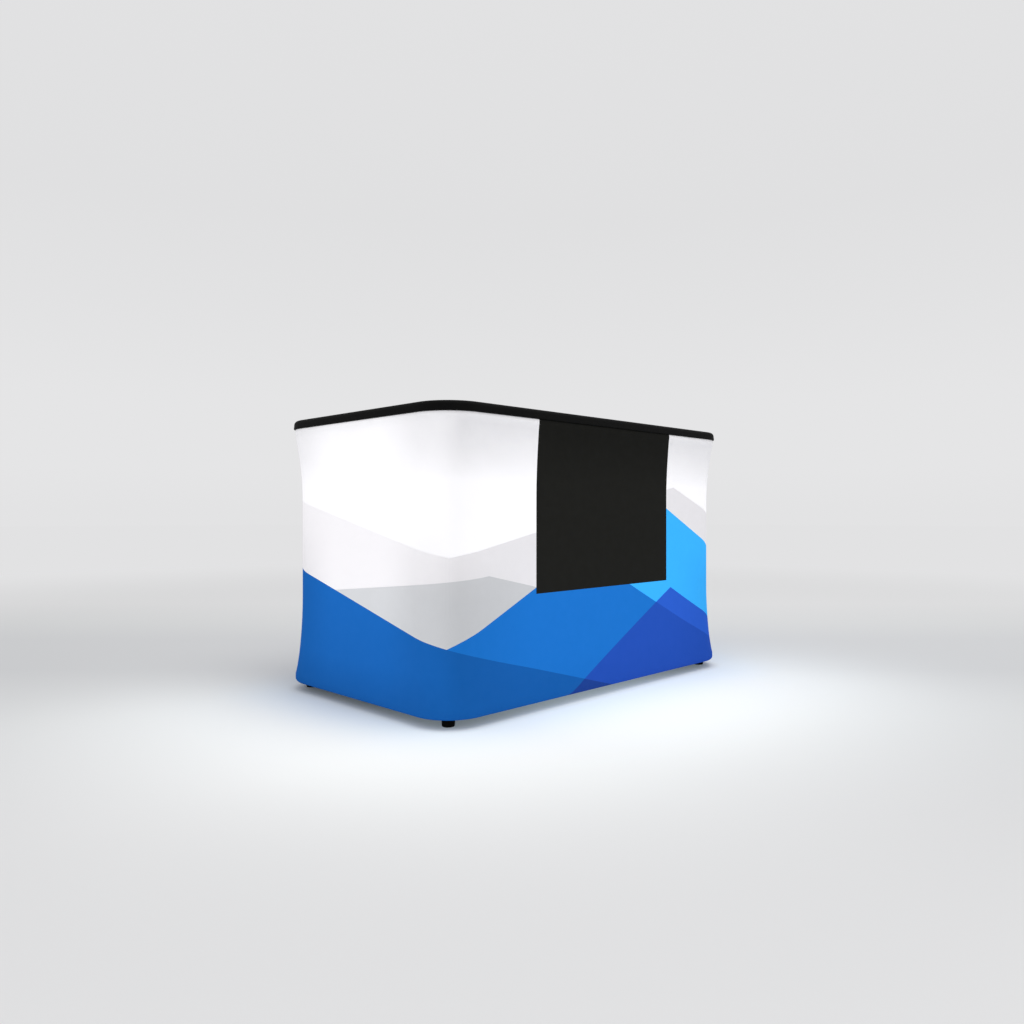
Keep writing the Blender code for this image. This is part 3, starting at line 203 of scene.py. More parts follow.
class Nodes:
    """A node tree with a short way to add to it. An input is named, or numbered as i0, i1 and so on."""

    def __init__(self, tree):
        self.tree = tree

    def feed(self, node, key, value):
        socket = node.inputs[int(key[1:])] if key[0] == "i" and key[1:].isdigit() else node.inputs[key]
        if isinstance(value, bpy.types.NodeSocket):
            self.tree.links.new(value, socket)
        else:
            socket.default_value = value

    def add(self, kind, settings=None, **inputs):
        node = self.tree.nodes.new(f"ShaderNode{kind}")
        for key, value in (settings or {}).items():
            setattr(node, key, value)
        for key, value in inputs.items():
            self.feed(node, key, value)
        return node

    def math(self, operation, first, second=0.0):
        return self.add("Math", {"operation": operation}, i0=first, i1=second, i2=0.0).outputs[0]

    def product(self, *values):
        result = values[0]
        for value in values[1:]:
            result = self.math("MULTIPLY", result, value)
        return result

    def ranged(self, value, low, high, to_low, to_high, smooth=False):
        kind = {"interpolation_type": "SMOOTHSTEP" if smooth else "LINEAR"}
        inputs = {"Value": value, "From Min": low, "From Max": high, "To Min": to_low, "To Max": to_high}
        return self.add("MapRange", kind, **inputs).outputs["Result"]

    def ramp(self, share, stops):
        """Colours that follow a value. The stops are (position, four values of the colour)."""
        node = self.add("ValToRGB", Fac=share)
        elements = node.color_ramp.elements
        while len(elements) < len(stops):
            elements.new(0.5)
        for element, (position, *colour) in zip(elements, stops):
            element.position = position
            element.color = colour
        return node.outputs


class Surface(Nodes):
    """A Principled material."""

    def __init__(self, name, colour, roughness, metallic=0.0, specular=0.5):
        self.made = bpy.data.materials.new(f"{name}_look")
        self.made.use_nodes = True
        super().__init__(self.made.node_tree)
        self.shader = self.tree.nodes["Principled BSDF"]
        self.colour = colour
        self.roughness = roughness
        self.set("Base Color", (*colour, 1))
        self.set("Roughness", roughness)
        self.set("Metallic", metallic)
        self.set("Specular IOR Level", specular)
        self.place = self.add("TexCoord").outputs["Object"]

    def set(self, socket, value):
        self.shader.inputs[socket].default_value = value

    def link(self, source, socket):
        self.tree.links.new(source, self.shader.inputs[socket])

    def noise(self, scale, detail=3.0, roughness=0.5, vector=None):
        inputs = {"Scale": scale, "Detail": detail, "Roughness": roughness, "Vector": vector or self.place}
        return self.add("TexNoise", **inputs).outputs["Fac"]

    def mix(self, share, first, second, blend="MIX"):
        node = self.add("Mix", {"data_type": "RGBA", "blend_type": blend}, Factor=share)
        for key, value in (("i6", first), ("i7", second)):
            self.feed(node, key, value if isinstance(value, bpy.types.NodeSocket) else (*value, 1))
        return node.outputs[2]

    def rough(self, spread, scale):
        low, high = self.roughness - spread, self.roughness + spread
        self.link(self.ranged(self.noise(scale, 5), 0.3, 0.7, low, high), "Roughness")

    def bump(self, height, strength, distance):
        node = self.add("Bump", Strength=strength, Distance=distance, Height=height)
        self.link(node.outputs["Normal"], "Normal")


def fabric(name, levels, glow, painted_end_glow):
    """Printed stretch fabric with a painted glow standing in for the light from inside, with painted shade
    near the posts and the rims.
    """
    colour = srgb(*levels)
    cloth = Surface(name, colour, 0.85, specular=0.03)
    parts = cloth.add("SeparateXYZ", Vector=cloth.place).outputs
    across = cloth.math("ABSOLUTE", parts["X"])
    # Painted post shade: a mask near the corner posts, where the painted glow is dimmed
    near_x = cloth.ranged(across, 0.36, 0.7, 0, 1, True)
    near_y = cloth.ranged(cloth.math("ABSOLUTE", parts["Y"]), 0.12, 0.4, 0, 1, True)
    post = cloth.product(near_x, near_y)
    shares = cloth.ramp(parts["Z"], PAINTED_GLOW_BY_HEIGHT)
    split = cloth.add("SeparateColor", Color=shares["Color"]).outputs
    rows = ((split["Red"], glow, split["Blue"]), (split["Green"], painted_end_glow, shares["Alpha"]))
    sides = [cloth.product(share, most, cloth.ranged(post, 0, 1, 1, kept)) for share, most, kept in rows]
    # The painted glow takes the short sides' own strength at the ends
    at_end = cloth.ranged(across, 0.7, 0.775, 0, 1, True)
    light = cloth.add("Mix", {"data_type": "FLOAT"}, Factor=at_end, i2=sides[0], i3=sides[1])
    cloth.set("Emission Color", (*colour, 1))
    cloth.link(light.outputs[0], "Emission Strength")
    round_it = cloth.math("ADD", parts["X"], parts["Y"])
    threads = cloth.add("CombineXYZ", X=round_it, Z=parts["Z"]).outputs[0]
    waves = []
    for direction in "XZ":
        kind = {"bands_direction": direction}
        wave = cloth.add("TexWave", kind, Scale=420.0, Distortion=0.6, Vector=threads)
        waves.append(wave.outputs["Fac"])
    weave = cloth.product(*waves)
    fleck = cloth.ranged(weave, 0, 1, 0.965, 1.0)
    paler = tuple(min(1.0, c * 1.015 + 0.001) for c in colour)
    tinted = cloth.mix(cloth.ranged(cloth.noise(26), 0.35, 0.65, 0, 1), colour, paler)
    grey = cloth.add("CombineColor", Red=fleck, Green=fleck, Blue=fleck).outputs[0]
    cloth.link(cloth.mix(1.0, tinted, grey, "MULTIPLY"), "Base Color")
    cloth.rough(0.06, 60)
    cloth.bump(weave, 0.25, 0.0002)
    return cloth.made


LOOKS = {name: fabric(name, *values) for name, values in PRINT_COLOURS.items()}


def plain(
    name, colour, other, roughness, patches, grain, depth=0.0002, strength=0.3, metallic=0.0, specular=0.5
):
    """A moulded, drawn or sawn surface: two near colours in patches, uneven gloss and a fine grain."""
    look = Surface(name, srgb(*colour), roughness, metallic, specular)
    share = look.ranged(look.noise(patches, 4), 0.35, 0.65, 0, 1, True)
    look.link(look.mix(share, look.colour, srgb(*other)), "Base Color")
    look.rough(0.07, patches * 6)
    look.bump(look.noise(grain, 4, 0.6), strength, depth)
    LOOKS[name] = look.made
    return look


def brushed(name, colour, other, roughness, along):
    """Metal with fine lines along one axis."""
    look = Surface(name, srgb(*colour), roughness, 1.0)
    lines = look.add("Mapping", Vector=look.place, Scale=along).outputs[0]
    streaks = look.noise(60, 6, 0.6, lines)
    look.link(look.mix(look.ranged(streaks, 0.3, 0.7, 0, 1), look.colour, srgb(*other)), "Base Color")
    look.link(look.ranged(streaks, 0.3, 0.7, roughness - 0.08, roughness + 0.1), "Roughness")
    look.bump(streaks, 0.15, 0.0001)
    LOOKS[name] = look.made


plain("top_plastic", (12, 12, 12), (14, 14, 13), 0.62, 22, 700, specular=0.05)
plain("foot_rubber", (8, 8, 8), (14, 14, 13), 0.8, 60, 900, specular=0.06)
plain("rib_plastic", (34, 34, 35), (42, 42, 43), 0.55, 14, 500, specular=0.3)
plain("frame_plastic", (58, 59, 61), (63, 64, 66), 0.5, 12, 600, specular=0.3)
plain("elastic", (38, 38, 40), (52, 52, 55), 0.85, 90, 1400, 0.0004, 0.6, specular=0.2)
plain("steel", (176, 177, 180), (150, 151, 155), 0.3, 90, 1200, 0.0001, 0.1, 1.0)
plain("pad_foam", (60, 60, 63), (82, 82, 86), 0.95, 120, 420, 0.0012, 0.8, specular=0.1)
brushed("bar_aluminium_x", (206, 208, 211), (186, 188, 192), 0.36, (1, 60, 60))
brushed("bar_aluminium_y", (206, 208, 211), (186, 188, 192), 0.36, (60, 1, 60))
plain("led_board", (236, 236, 230), (226, 227, 220), 0.4, 40, 600)
plain("led_chip", (244, 226, 150), (250, 238, 190), 0.25, 200, 900, specular=0.6)
plain("copper_pad", (196, 132, 84), (214, 154, 104), 0.35, 200, 900, metallic=1.0)
plain("wire", (26, 26, 27), (36, 36, 38), 0.5, 70, 900, specular=0.4)
plain("supply_case", (126, 129, 133), (138, 141, 145), 0.5, 25, 900, 0.0003, 0.4, metallic=0.5)
plain("inlet_plastic", (22, 22, 23), (30, 30, 31), 0.4, 60, 900, specular=0.4)
plain("rocker_plastic", (176, 22, 20), (150, 16, 15), 0.32, 80, 1200)
plain("mark_paint", (238, 238, 236), (222, 222, 220), 0.5, 200, 1500)
plain("brass", (214, 178, 98), (196, 158, 80), 0.3, 150, 900, metallic=1.0)
plain("valve_plastic", (92, 95, 99), (106, 109, 113), 0.42, 60, 900, specular=0.4)
plain("zip_plastic", (214, 216, 220), (200, 202, 206), 0.45, 90, 900)
plain("zip_tape", (206, 208, 212), (202, 204, 208), 0.85, 40, 1500, 0.0004, 0.7, specular=0.1)
plain("zip_metal", (188, 189, 193), (160, 161, 166), 0.28, 120, 1400, 0.0001, 0.1, 1.0)
plain("thread", (222, 224, 228), (204, 206, 211), 0.8, 300, 2500, 0.0003, 0.5, specular=0.1)
bladder = plain("bladder", (214, 219, 225), (198, 204, 212), 0.34, 6, 40, 0.002, 0.25, specular=0.4)
bladder.set("Subsurface Weight", 0.25)
bladder.set("Subsurface Radius", (0.01, 0.01, 0.012))
lens = plain("led_lens", (236, 240, 247), (226, 232, 242), 0.3, 30, 900)
lens.set("Emission Color", (0.86, 0.93, 1.0, 1))
lens.set("Emission Strength", 2.2)


# Outlines and meshes

def turns(count, first=0.0):
    return [tau * (step + first) / count for step in range(count)]


def circle(radius, sides):
    return [(radius * cos(turn), radius * sin(turn)) for turn in turns(sides)]


def arc(centre, radius, start, end, steps):
    """Points of an arc, with angles in quarter turns."""
    angles = [(start + (end - start) * step / steps) * FLAT_QUARTER for step in range(steps + 1)]
    return [(centre[0] + radius * cos(turn), centre[1] + radius * sin(turn)) for turn in angles]


def rounded(half_x, half_y, radius, chamfer=0.0, steps=5):
    """Outline of a rounded rectangle, anticlockwise. A chamfer cuts its two upper corners straight."""
    points = []
    for quarter, (side_x, side_y) in enumerate(QUARTERS):
        if chamfer and side_y > 0:
            ends = [(side_x * half_x, half_y - chamfer), (side_x * (half_x - chamfer), half_y)]
            first, last = ends[::side_x]
            for step in range(steps + 1):
                points.append(tuple(a + (b - a) * step / steps for a, b in zip(first, last)))
        else:
            centre = (side_x * (half_x - radius), side_y * (half_y - radius))
            points += arc(centre, radius, quarter, quarter + 1, steps)
    return points


def ring_at(along, outline, axis="Z", off=(0, 0)):
    """An outline of (a, b) points set square to an axis, at a distance along it."""
    ring = []
    for a, b in outline:
        a, b = a + off[0], b + off[1]
        ring.append({"X": (along, a, b), "Y": (a, along, b), "Z": (a, b, along)}[axis])
    return ring


def add_rings(rings, closed=False, bm=None):
    """Faces between rings of points, in a bmesh. An open row is capped at both ends."""
    bm = bm or bmesh.new()
    rows = [[bm.verts.new(point) for point in ring] for ring in rings]
    count = len(rows[0])
    for row, after in zip(rows, rows[1:] + rows[:1] if closed else rows[1:]):
        for here in range(count):
            there = (here + 1) % count
            bm.faces.new((row[here], row[there], after[there], after[here]))
    if not closed:
        bm.faces.new(rows[0])
        bm.faces.new(rows[-1])
    return bm


def stacked(rows, closed=False, bm=None, axis="Z", off=(0, 0)):
    """Rows of (outline, distance along an axis), joined."""
    return add_rings([ring_at(along, outline, axis, off) for outline, along in rows], closed, bm)


def turned(profile, sides, closed=False, bm=None, axis="Z", off=(0, 0)):
    """A profile of (radius, distance along) points turned about an axis."""
    return stacked([(circle(radius, sides), along) for radius, along in profile], closed, bm, axis, off)


def round_plan(profile, corner, closed=False):
    """A profile of (inset, height) points led round the plan. Corner is the corner radius at no inset."""
    rows = []
    for inset, height in profile:
        radius = corner - inset
        outline = rounded(HALF_LENGTH - inset, HALF_DEPTH - inset, radius, steps=20)
        rows.append((outline, height))
    return stacked(rows, closed)


def bar(outline, half, bevel, bm=None, axis="X", middle=0.0):
    """An (a, b) outline drawn out along an axis, with small bevels at both ends."""
    centre = [sum(values) / len(outline) for values in zip(*outline)]
    rows = []
    for along, share in ((-half, 0.9), (bevel - half, 1.0), (half - bevel, 1.0), (half, 0.9)):
        shape = [[c + (value - c) * share for value, c in zip(point, centre)] for point in outline]
        rows.append((shape, along + middle))
    return stacked(rows, False, bm, axis)


def bars_at(places, half, low, high, bevel):
    """A builder of small softened blocks along X, by their half length and lowest and highest (Y, Z)."""
    def build(bm):
        for x in places:
            corners = ((x - half, *low), (x + half, *high))
            middle = [(a + b) / 2 for a, b in zip(*corners)]
            halves = [(b - a) / 2 for a, b in zip(*corners)]
            shape = rounded(*halves[:2], min(halves[:2]) * 0.4, steps=2)
            outline = [(middle[0] + a, middle[1] + b) for a, b in shape]
            bar(outline, halves[2], min(bevel, halves[2] * 0.6), bm, "Z", middle[2])

    return build


def swept_rings(points, radius):
    """Round rings along a path."""
    rings = []
    for here, point in enumerate(points):
        along = (points[min(here + 1, len(points) - 1)] - points[max(here - 1, 0)]).normalized()
        side = along.cross(UPWARDS).normalized()
        up = side.cross(along)
        rings.append([point + (side * cos(t) + up * sin(t)) * radius for t in turns(12)])
    return rings


def plan_path(inset, radius, spacing, corner_spacing):
    """Rows of (place, outward direction, depth in a corner, distance so far) round the plan, and its run."""
    reach_x, reach_y = HALF_LENGTH - inset - radius, HALF_DEPTH - inset - radius
    bend = radius * FLAT_QUARTER
    bend_steps = round(bend / corner_spacing)
    path, gone = [], 0.0
    for quarter, (side_x, side_y) in enumerate(QUARTERS):
        centre = Vector((side_x * reach_x, side_y * reach_y, 0))
        run = 2 * (reach_y if quarter % 2 else reach_x)
        run_steps = round(run / spacing)
        for share in (step / bend_steps for step in range(bend_steps)):
            turn = (quarter + share) * FLAT_QUARTER
            out = Vector((cos(turn), sin(turn), 0))
            path.append((centre + out * radius, out, sin(pi * share), gone + bend * share))
        gone += bend
        turn = (quarter + 1) * FLAT_QUARTER
        out = Vector((cos(turn), sin(turn), 0))
        along = Vector((-out.y, out.x, 0))
        for share in (step / run_steps for step in range(run_steps)):
            path.append((centre + out * radius + along * run * share, out, 0.0, gone + run * share))
        gone += run
    return path, gone


def layered(*builders):
    """A bmesh of parts, where the faces of each builder take the next look."""
    bm = bmesh.new()
    for number, build in enumerate(builders):
        done = len(bm.faces)
        build(bm)
        bm.faces.ensure_lookup_table()
        for face in bm.faces[done:]:
            face.material_index = number
    return bm


def finished(name, bm, angle=40):
    """A mesh with its faces turned outwards, smooth apart from its crisp edges."""
    bmesh.ops.recalc_face_normals(bm, faces=bm.faces)
    mesh = bpy.data.meshes.new(name)
    bm.to_mesh(mesh)
    bm.free()
    mesh.shade_smooth()
    mesh.set_sharp_from_angle(angle=radians(angle))
    return mesh


def shown(name, data):
    made = bpy.data.objects.new(name, data)
    bpy.context.scene.collection.objects.link(made)
    return made


def carved(mesh, tool):
    """The mesh with a bmesh's shape cut out of it."""
    blank, cutter = shown("blank", mesh), shown("cutter", finished("cutter", tool))
    cutting = blank.modifiers.new("cut", "BOOLEAN")
    cutting.operation = "DIFFERENCE"
    cutting.solver = "EXACT"
    cutting.object = cutter
    made = bpy.data.meshes.new_from_object(blank.evaluated_get(bpy.context.evaluated_depsgraph_get()))
    for used in (blank, cutter):
        data = used.data
        bpy.data.objects.remove(used)
        bpy.data.meshes.remove(data)
    return made


def piece(name, shape, looks, *nodes, body="counter_body", slot=None, angle=40, place=None):
    """A named piece from a mesh or a bmesh, with one look or several, on a body and in place of CAD nodes."""
    looks = [looks] if isinstance(looks, str) else looks
    mesh = finished(name, shape, angle) if isinstance(shape, bmesh.types.BMesh) else shape
    if place:
        mesh.transform(place)
    for look in looks:
        mesh.materials.append(LOOKS[look])
    made = shown(name, mesh)
    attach(made, body)
    if nodes:
        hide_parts(*nodes)
    return made


def stitches(bm, places, length=0.0026, width=0.0005, height=0.0004):
    """A short thread at each (place, direction, normal)."""
    for place, along, normal in places:
        side = normal.cross(along)
        rings = []
        for share, swell in ((-0.5, 0.35), (0, 1.0), (0.5, 0.35)):
            centre = place + along * length * share
            spokes = [side * cos(t) * width + normal * sin(t) * height for t in turns(4, 0.5)]
            rings.append([centre + spoke * swell for spoke in spokes])
        add_rings(rings, bm=bm)


# Skin

def outline_point(run, inset, radius):
    """Plan position and outward direction at a distance round the counter from the front's middle."""
    side = -1 if run < 0 else 1
    run = abs(run)
    reach_x, reach_y = HALF_LENGTH - inset - radius, HALF_DEPTH - inset - radius

    def eased(along, half, reach):
        share = min(1.0, max(0.0, (abs(along) / half - 0.62) / 0.38))
        return along + copysign((reach - half) * share * share * (3 - 2 * share), along)

    if run <= HALF_STRAIGHT_X:
        y, turn = -HALF_DEPTH + inset, -FLAT_QUARTER
        x = eased(run, HALF_STRAIGHT_X, reach_x)
    elif run <= SIDE_START:
        turn = (run - HALF_STRAIGHT_X) / WAIST_RADIUS - FLAT_QUARTER
        x, y = reach_x + radius * cos(turn), -reach_y + radius * sin(turn)
    elif run <= SIDE_END:
        x, turn = HALF_LENGTH - inset, 0.0
        y = eased(run - SIDE_START - HALF_STRAIGHT_Y, HALF_STRAIGHT_Y, reach_y)
    elif run <= REAR_START:
        turn = (run - SIDE_END) / WAIST_RADIUS
        x, y = reach_x + radius * cos(turn), reach_y + radius * sin(turn)
    else:
        y, turn = HALF_DEPTH - inset, FLAT_QUARTER
        x = eased(max(0.0, HALF_ROUND - run), HALF_STRAIGHT_X, reach_x)
    return Vector((side * x, y, 0)), Vector((side * cos(turn), sin(turn), 0))


def skin_profile():
    """(print height, inset, corner radius, height) up the skin's outer face, from hem to fold."""
    base, top = BASE_RADIUS + BASE_INSET, TOP_RADIUS + TOP_INSET
    arc_run, arc_top = EDGE_RADIUS * FLAT_QUARTER, HEM_BOTTOM + EDGE_RADIUS
    rows = []

    def add_flare(height, drawn, inset, radius):
        inset, radius = inset + drawn * (WAIST_INSET - inset), radius + drawn * (WAIST_RADIUS - radius)
        rows.append((height, inset, radius, height))

    for share in (step / 3 for step in range(3)):
        inward = (HEM_WIDTH - EDGE_RADIUS) * (1 - share)
        inset = BASE_INSET + EDGE_RADIUS + inward
        rows.append((arc_top - arc_run - inward, inset, base - inset, HEM_BOTTOM))
    for share in (step / 6 for step in range(7)):
        turn = FLAT_QUARTER * share
        inset = BASE_INSET + EDGE_RADIUS * (1 - sin(turn))
        height = arc_top - EDGE_RADIUS * cos(turn)
        rows.append((arc_top - arc_run * (1 - share), inset, base - inset, height))
    start, tall = BASE_FLARE
    for share in ((step / 24) ** 1.5 for step in range(25)):
        add_flare(start + share * tall, sin(FLAT_QUARTER * share**0.8), BASE_INSET, BASE_RADIUS)
    waist_low, waist_high = start + tall, TOP_FLARE[0] - TOP_FLARE[1]
    for step in range(1, 9):
        add_flare(waist_low + (waist_high - waist_low) * step / 9, 1.0, BASE_INSET, BASE_RADIUS)
    start, tall = TOP_FLARE
    for share in (1 - step / 20 for step in range(21)):
        add_flare(start - share * tall, sin(FLAT_QUARTER * share), TOP_INSET, TOP_RADIUS)
    for share in (step / 3 for step in range(4)):
        turn = FLAT_QUARTER * share
        inset = TOP_INSET + FOLD_RADIUS * (1 - cos(turn))
        height = FOLD_TOP - FOLD_RADIUS * (1 - sin(turn))
        rows.append((FOLD_TOP - FOLD_RADIUS * (1 - share), inset, top - inset, height))
    for step in range(1, 4):
        inset = TOP_INSET + FOLD_RADIUS + (FOLD_WIDTH - FOLD_RADIUS) * step / 3
        rows.append((FOLD_TOP + inset - TOP_INSET - FOLD_RADIUS + 0.001, inset, top - inset, FOLD_TOP))
    return rows


PROFILE = skin_profile()


def tension(run, rise):
    """How far the stretched fabric is drawn in at a place, from pulls at the corners and soft waves."""
    depth = 0.0
    for corner in CORNER_MIDDLES:
        for end, spread in PULLS:
            along, off = abs(run) - corner, rise - end
            pull = exp(-(((hypot(along, off) - spread) / (spread * 0.6)) ** 2))
            depth += PULL_DEPTH * pull * (1 + sin(PULL_RAYS * atan2(along, abs(off) + 0.02)))
    soft = noise.noise(Vector((run * 2.3, rise * 3.1, 4.7)))
    low = noise.noise(Vector((run * 7.0, rise * 2.0, 9.1))) * exp(-max(0.0, rise - 0.05) / 0.1)
    by_post = max(exp(-(((abs(run) - corner) / 0.12) ** 2)) for corner in CORNER_MIDDLES)
    depth += (SOFT_DEPTH * (1 + soft) + LOW_DEPTH * (1 + low)) * (1 - 0.7 * by_post)
    fade = min(1.0, max(0.0, (rise - 0.045) / 0.03)) * min(1.0, max(0.0, (0.958 - rise) / 0.02))
    behind = HALF_ROUND - abs(run)
    by_zip = max(0.0, (behind - 0.59) / 0.04, (abs(rise - ZIP_HEIGHT) - 0.024) / 0.03)
    by_seam = max(0.0, (behind - 0.012) / 0.1)
    return depth * fade * min(1.0, by_zip) * min(1.0, by_seam)


def skin_place(run, rise):
    """Point of the skin's outer face."""
    low = 0
    while low < len(PROFILE) - 2 and PROFILE[low + 1][0] < rise:
        low += 1
    first, second = PROFILE[low], PROFILE[low + 1]
    share = (rise - first[0]) / (second[0] - first[0])
    inset, radius, height = (a + (b - a) * share for a, b in zip(first[1:], second[1:]))
    point, outwards = outline_point(run, inset, radius)
    point.z = height
    return point - outwards * tension(run, rise)


def skin_normal(run, rise):
    """Outward direction of the skin, from its own slope."""
    step = 0.002
    along = skin_place(run + step, rise) - skin_place(run - step, rise)
    if abs(run) + step > HALF_ROUND:
        along = -RIGHTWARDS
    up = skin_place(run, min(PROFILE[-1][0], rise + step)) - skin_place(run, max(PROFILE[0][0], rise - step))
    return along.cross(up).normalized()


def rear_face(x, height, proud=0.0):
    """A place on the skin's rear face, or a little behind it."""
    run = min(-0.0001, -HALF_ROUND + abs(x))
    return Vector((x, skin_place(run, height).y + proud, height))


def rear_stitches(bm, places, along, proud):
    """Stitches on the rear face at (x, height) places."""
    stitches(bm, [(rear_face(x, height, proud), along, BACKWARDS) for x, height in places])


def cut(bm, first, second, margin=0.012):
    """Split the faces of the flat print along a line between two points."""
    (low_run, high_run), (low_rise, high_rise) = (sorted(pair) for pair in zip(first, second))
    faces = []
    for face in bm.faces:
        runs, rises = zip(*[v.co.xy for v in face.verts])
        if max(runs) >= low_run - 1e-5 and min(runs) <= high_run + 1e-5:
            if max(rises) >= low_rise - margin and min(rises) <= high_rise + margin:
                faces.append(face)
    edges = {edge for face in faces for edge in face.edges}
    verts = {vert for face in faces for vert in face.verts}
    geom, normal = [*faces, *edges, *verts], (first[1] - second[1], second[0] - first[0], 0)
    bmesh.ops.bisect_plane(bm, geom=geom, dist=1e-6, plane_co=(*first, 0), plane_no=normal)


def ridge_height(points, run):
    for (low, start), (high, end) in zip(points, points[1:]):
        if low <= run <= high:
            return start + (end - start) * (run - low) / (high - low)
    return points[-1][1]


def print_look(run, rise):
    """Which printed colour a place has."""
    if PANEL_SIDES[0] < run < PANEL_SIDES[1] and rise > PANEL_BOTTOM:
        return "skin_panel"
    found = "skin_white"
    for name, points in RIDGE_LINES.items():
        if rise < ridge_height(points, run):
            found = OVERLAID.get(found, found) if name == "overlay" else name
    return found


def flat_print():
    """The skin laid out flat, with an edge along each line of its print."""
    steps, half = 16, [0.0]
    for end in (HALF_STRAIGHT_X, SIDE_START, SIDE_END, REAR_START, HALF_ROUND):
        start = half[-1]
        half += [start + (end - start) * step / steps for step in range(1, steps + 1)]
    runs = [-run for run in half[:0:-1]] + half
    bm = bmesh.new()
    grid = [[bm.verts.new((run, row[0], 0)) for run in runs] for row in PROFILE]
    for lower, upper in zip(grid, grid[1:]):
        for here in range(len(runs) - 1):
            bm.faces.new((lower[here], lower[here + 1], upper[here + 1], upper[here]))
    for points in RIDGE_LINES.values():
        for first, second in zip(points, points[1:]):
            if max(first[1], second[1]) > -0.04:
                cut(bm, first, second)
    for side in PANEL_SIDES:
        cut(bm, (side, PANEL_BOTTOM), (side, PROFILE[-1][0]))
    cut(bm, (PANEL_SIDES[0], PANEL_BOTTOM), (PANEL_SIDES[1], PANEL_BOTTOM), 0.0)
    bmesh.ops.triangulate(bm, faces=bm.faces)
    bm.verts.ensure_lookup_table()
    return bm


def make_skin():
    """The printed skin: its flat print wrapped round the counter and joined at the rear."""
    bm = flat_print()
    flat = [(v.co.x, v.co.y) for v in bm.verts]
    seam = {round(y, 5): i for i, (x, y) in enumerate(flat) if x < -HALF_ROUND + 1e-5}
    joined = [seam.get(round(y, 5), i) if x > HALF_ROUND - 1e-5 else i for i, (x, y) in enumerate(flat)]
    used = sorted(set(joined))
    index = {old: new for new, old in enumerate(used)}
    outer = [skin_place(*flat[i]) for i in used]
    normals = [skin_normal(*flat[i]) for i in used]
    inner = [p - n * SKIN_THICKNESS for p, n in zip(outer, normals)]
    count = len(used)
    faces, looks, rim = [], [], {}
    for face in bm.faces:
        middle = face.calc_center_median()
        loop = [index[joined[v.index]] for v in face.verts]
        faces += [loop, [i + count for i in reversed(loop)]]
        looks += [print_look(middle.x, middle.y), "skin_inside"]
        for a, b in zip(loop, loop[1:] + loop[:1]):
            if not rim.pop((b, a), False):
                rim[(a, b)] = True
    bm.free()
    faces += [[b, a, a + count, b + count] for a, b in rim]
    looks += ["skin_inside"] * len(rim)
    mesh = bpy.data.meshes.new("skin_cover")
    mesh.from_pydata([*outer, *inner], [], faces)
    for name in SKIN_LOOKS:
        mesh.materials.append(LOOKS[name])
    mesh.polygons.foreach_set("material_index", [SKIN_LOOKS.index(look) for look in looks])
    mesh.shade_smooth()
    mesh.normals_split_custom_set_from_vertices([*normals, *[-n for n in normals]])
    mesh.update()
    return shown("skin_cover", mesh)


def make_seams():
    """The skin's closing seam down the rear, and the stitched edges of its hem and fold."""
    strip = (
        (-0.007, 0.0001), (-0.007, 0.0004), (-0.0062, 0.0008), (-0.0005, 0.0009), (0.0005, 0.0007),
        (0.0062, 0.0008), (0.007, 0.0004), (0.007, 0.0001),
    )
    pitch, thread_side, proud_thread = 0.0036, 0.0038, 0.001
    bm, threads = bmesh.new(), bmesh.new()
    for low, high in ((0.046, 0.1325), (0.1675, 0.956)):
        marks = [seam for _, seam, *_ in RIDGES if low < seam < high]
        levels = sorted({low, high, *marks, *[low + (high - low) * step / 24 for step in range(25)]})
        add_rings([[rear_face(x, height, proud) for x, proud in strip] for height in levels], bm=bm)
        middles = [low + (step + 0.5) * pitch for step in range(int((high - low) / pitch))]
        for x in (-thread_side, thread_side):
            rear_stitches(threads, [(x, height) for height in middles], UPWARDS, proud_thread)
    for face in bm.faces:
        face.material_index = SKIN_LOOKS.index(print_look(HALF_ROUND, face.calc_center_median().z))
    piece("rear_seam", bm, SKIN_LOOKS, slot="skin_print", angle=35)
    for inset, radius, height, normal in (
        (HEM_LINE, BASE_RADIUS + BASE_INSET - HEM_LINE, HEM_BOTTOM - 0.00005, -UPWARDS),
        (FOLD_LINE, TOP_RADIUS + TOP_INSET - FOLD_LINE, FOLD_TOP, UPWARDS),
    ):
        line = []
        for place, out, _, _ in plan_path(inset, radius, 0.0045, 0.0045)[0]:
            line.append((place + UPWARDS * height, Vector((-out.y, out.x, 0)), normal))
        stitches(threads, line, 0.003, 0.0005, 0.0003)
    piece("skin_stitches", threads, "thread", slot="skin_print", angle=60)


# Countertop and feet

def make_countertop():
    """The moulded top with a full round to its upper edge."""
    edge, draft, lower = 0.015, 0.0015, 0.0035
    profile = [(0.02, 0.996), (0.02, TOP_UNDERSIDE)]
    profile += arc((lower, TOP_UNDERSIDE + lower), lower, -1, -2, 6)
    profile += arc((draft + edge, 1 - edge), edge, 2, 1, 12)
    shell = round_plan(profile, TOP_CORNER)
    piece("countertop_shell", shell, "top_plastic", "countertop", body="countertop")


def make_feet():
    """Rubber feet with four grooves and a recess for the screw's head."""
    hole, recess, depth = 0.0033, 0.008, 0.012
    profile = [(hole, depth), (recess, depth), (recess, 0.0008), (recess + 0.0008, 0)]
    profile += arc((0.017, 0.003), 0.003, -1, 0, 6)
    for height in (0.007 + ridge * 0.0042 for ridge in range(4)):
        for radius, rise in ((0.0203, 0), (0.0196, 0.0006), (0.0196, 0.0012), (0.0203, 0.0018)):
            profile.append((radius + height * 0.05, height + rise))
    profile += [(0.0218, 0.0285), (0.0212, 0.0295), (hole, 0.0295)]
    for name in CORNER_SIDES:
        low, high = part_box(f"foot_{name}")
        foot = turned(profile, 48, True, off=(low + high).xy / 2)
        piece(f"rubber_foot_{name}", foot, "foot_rubber", f"foot_{name}")


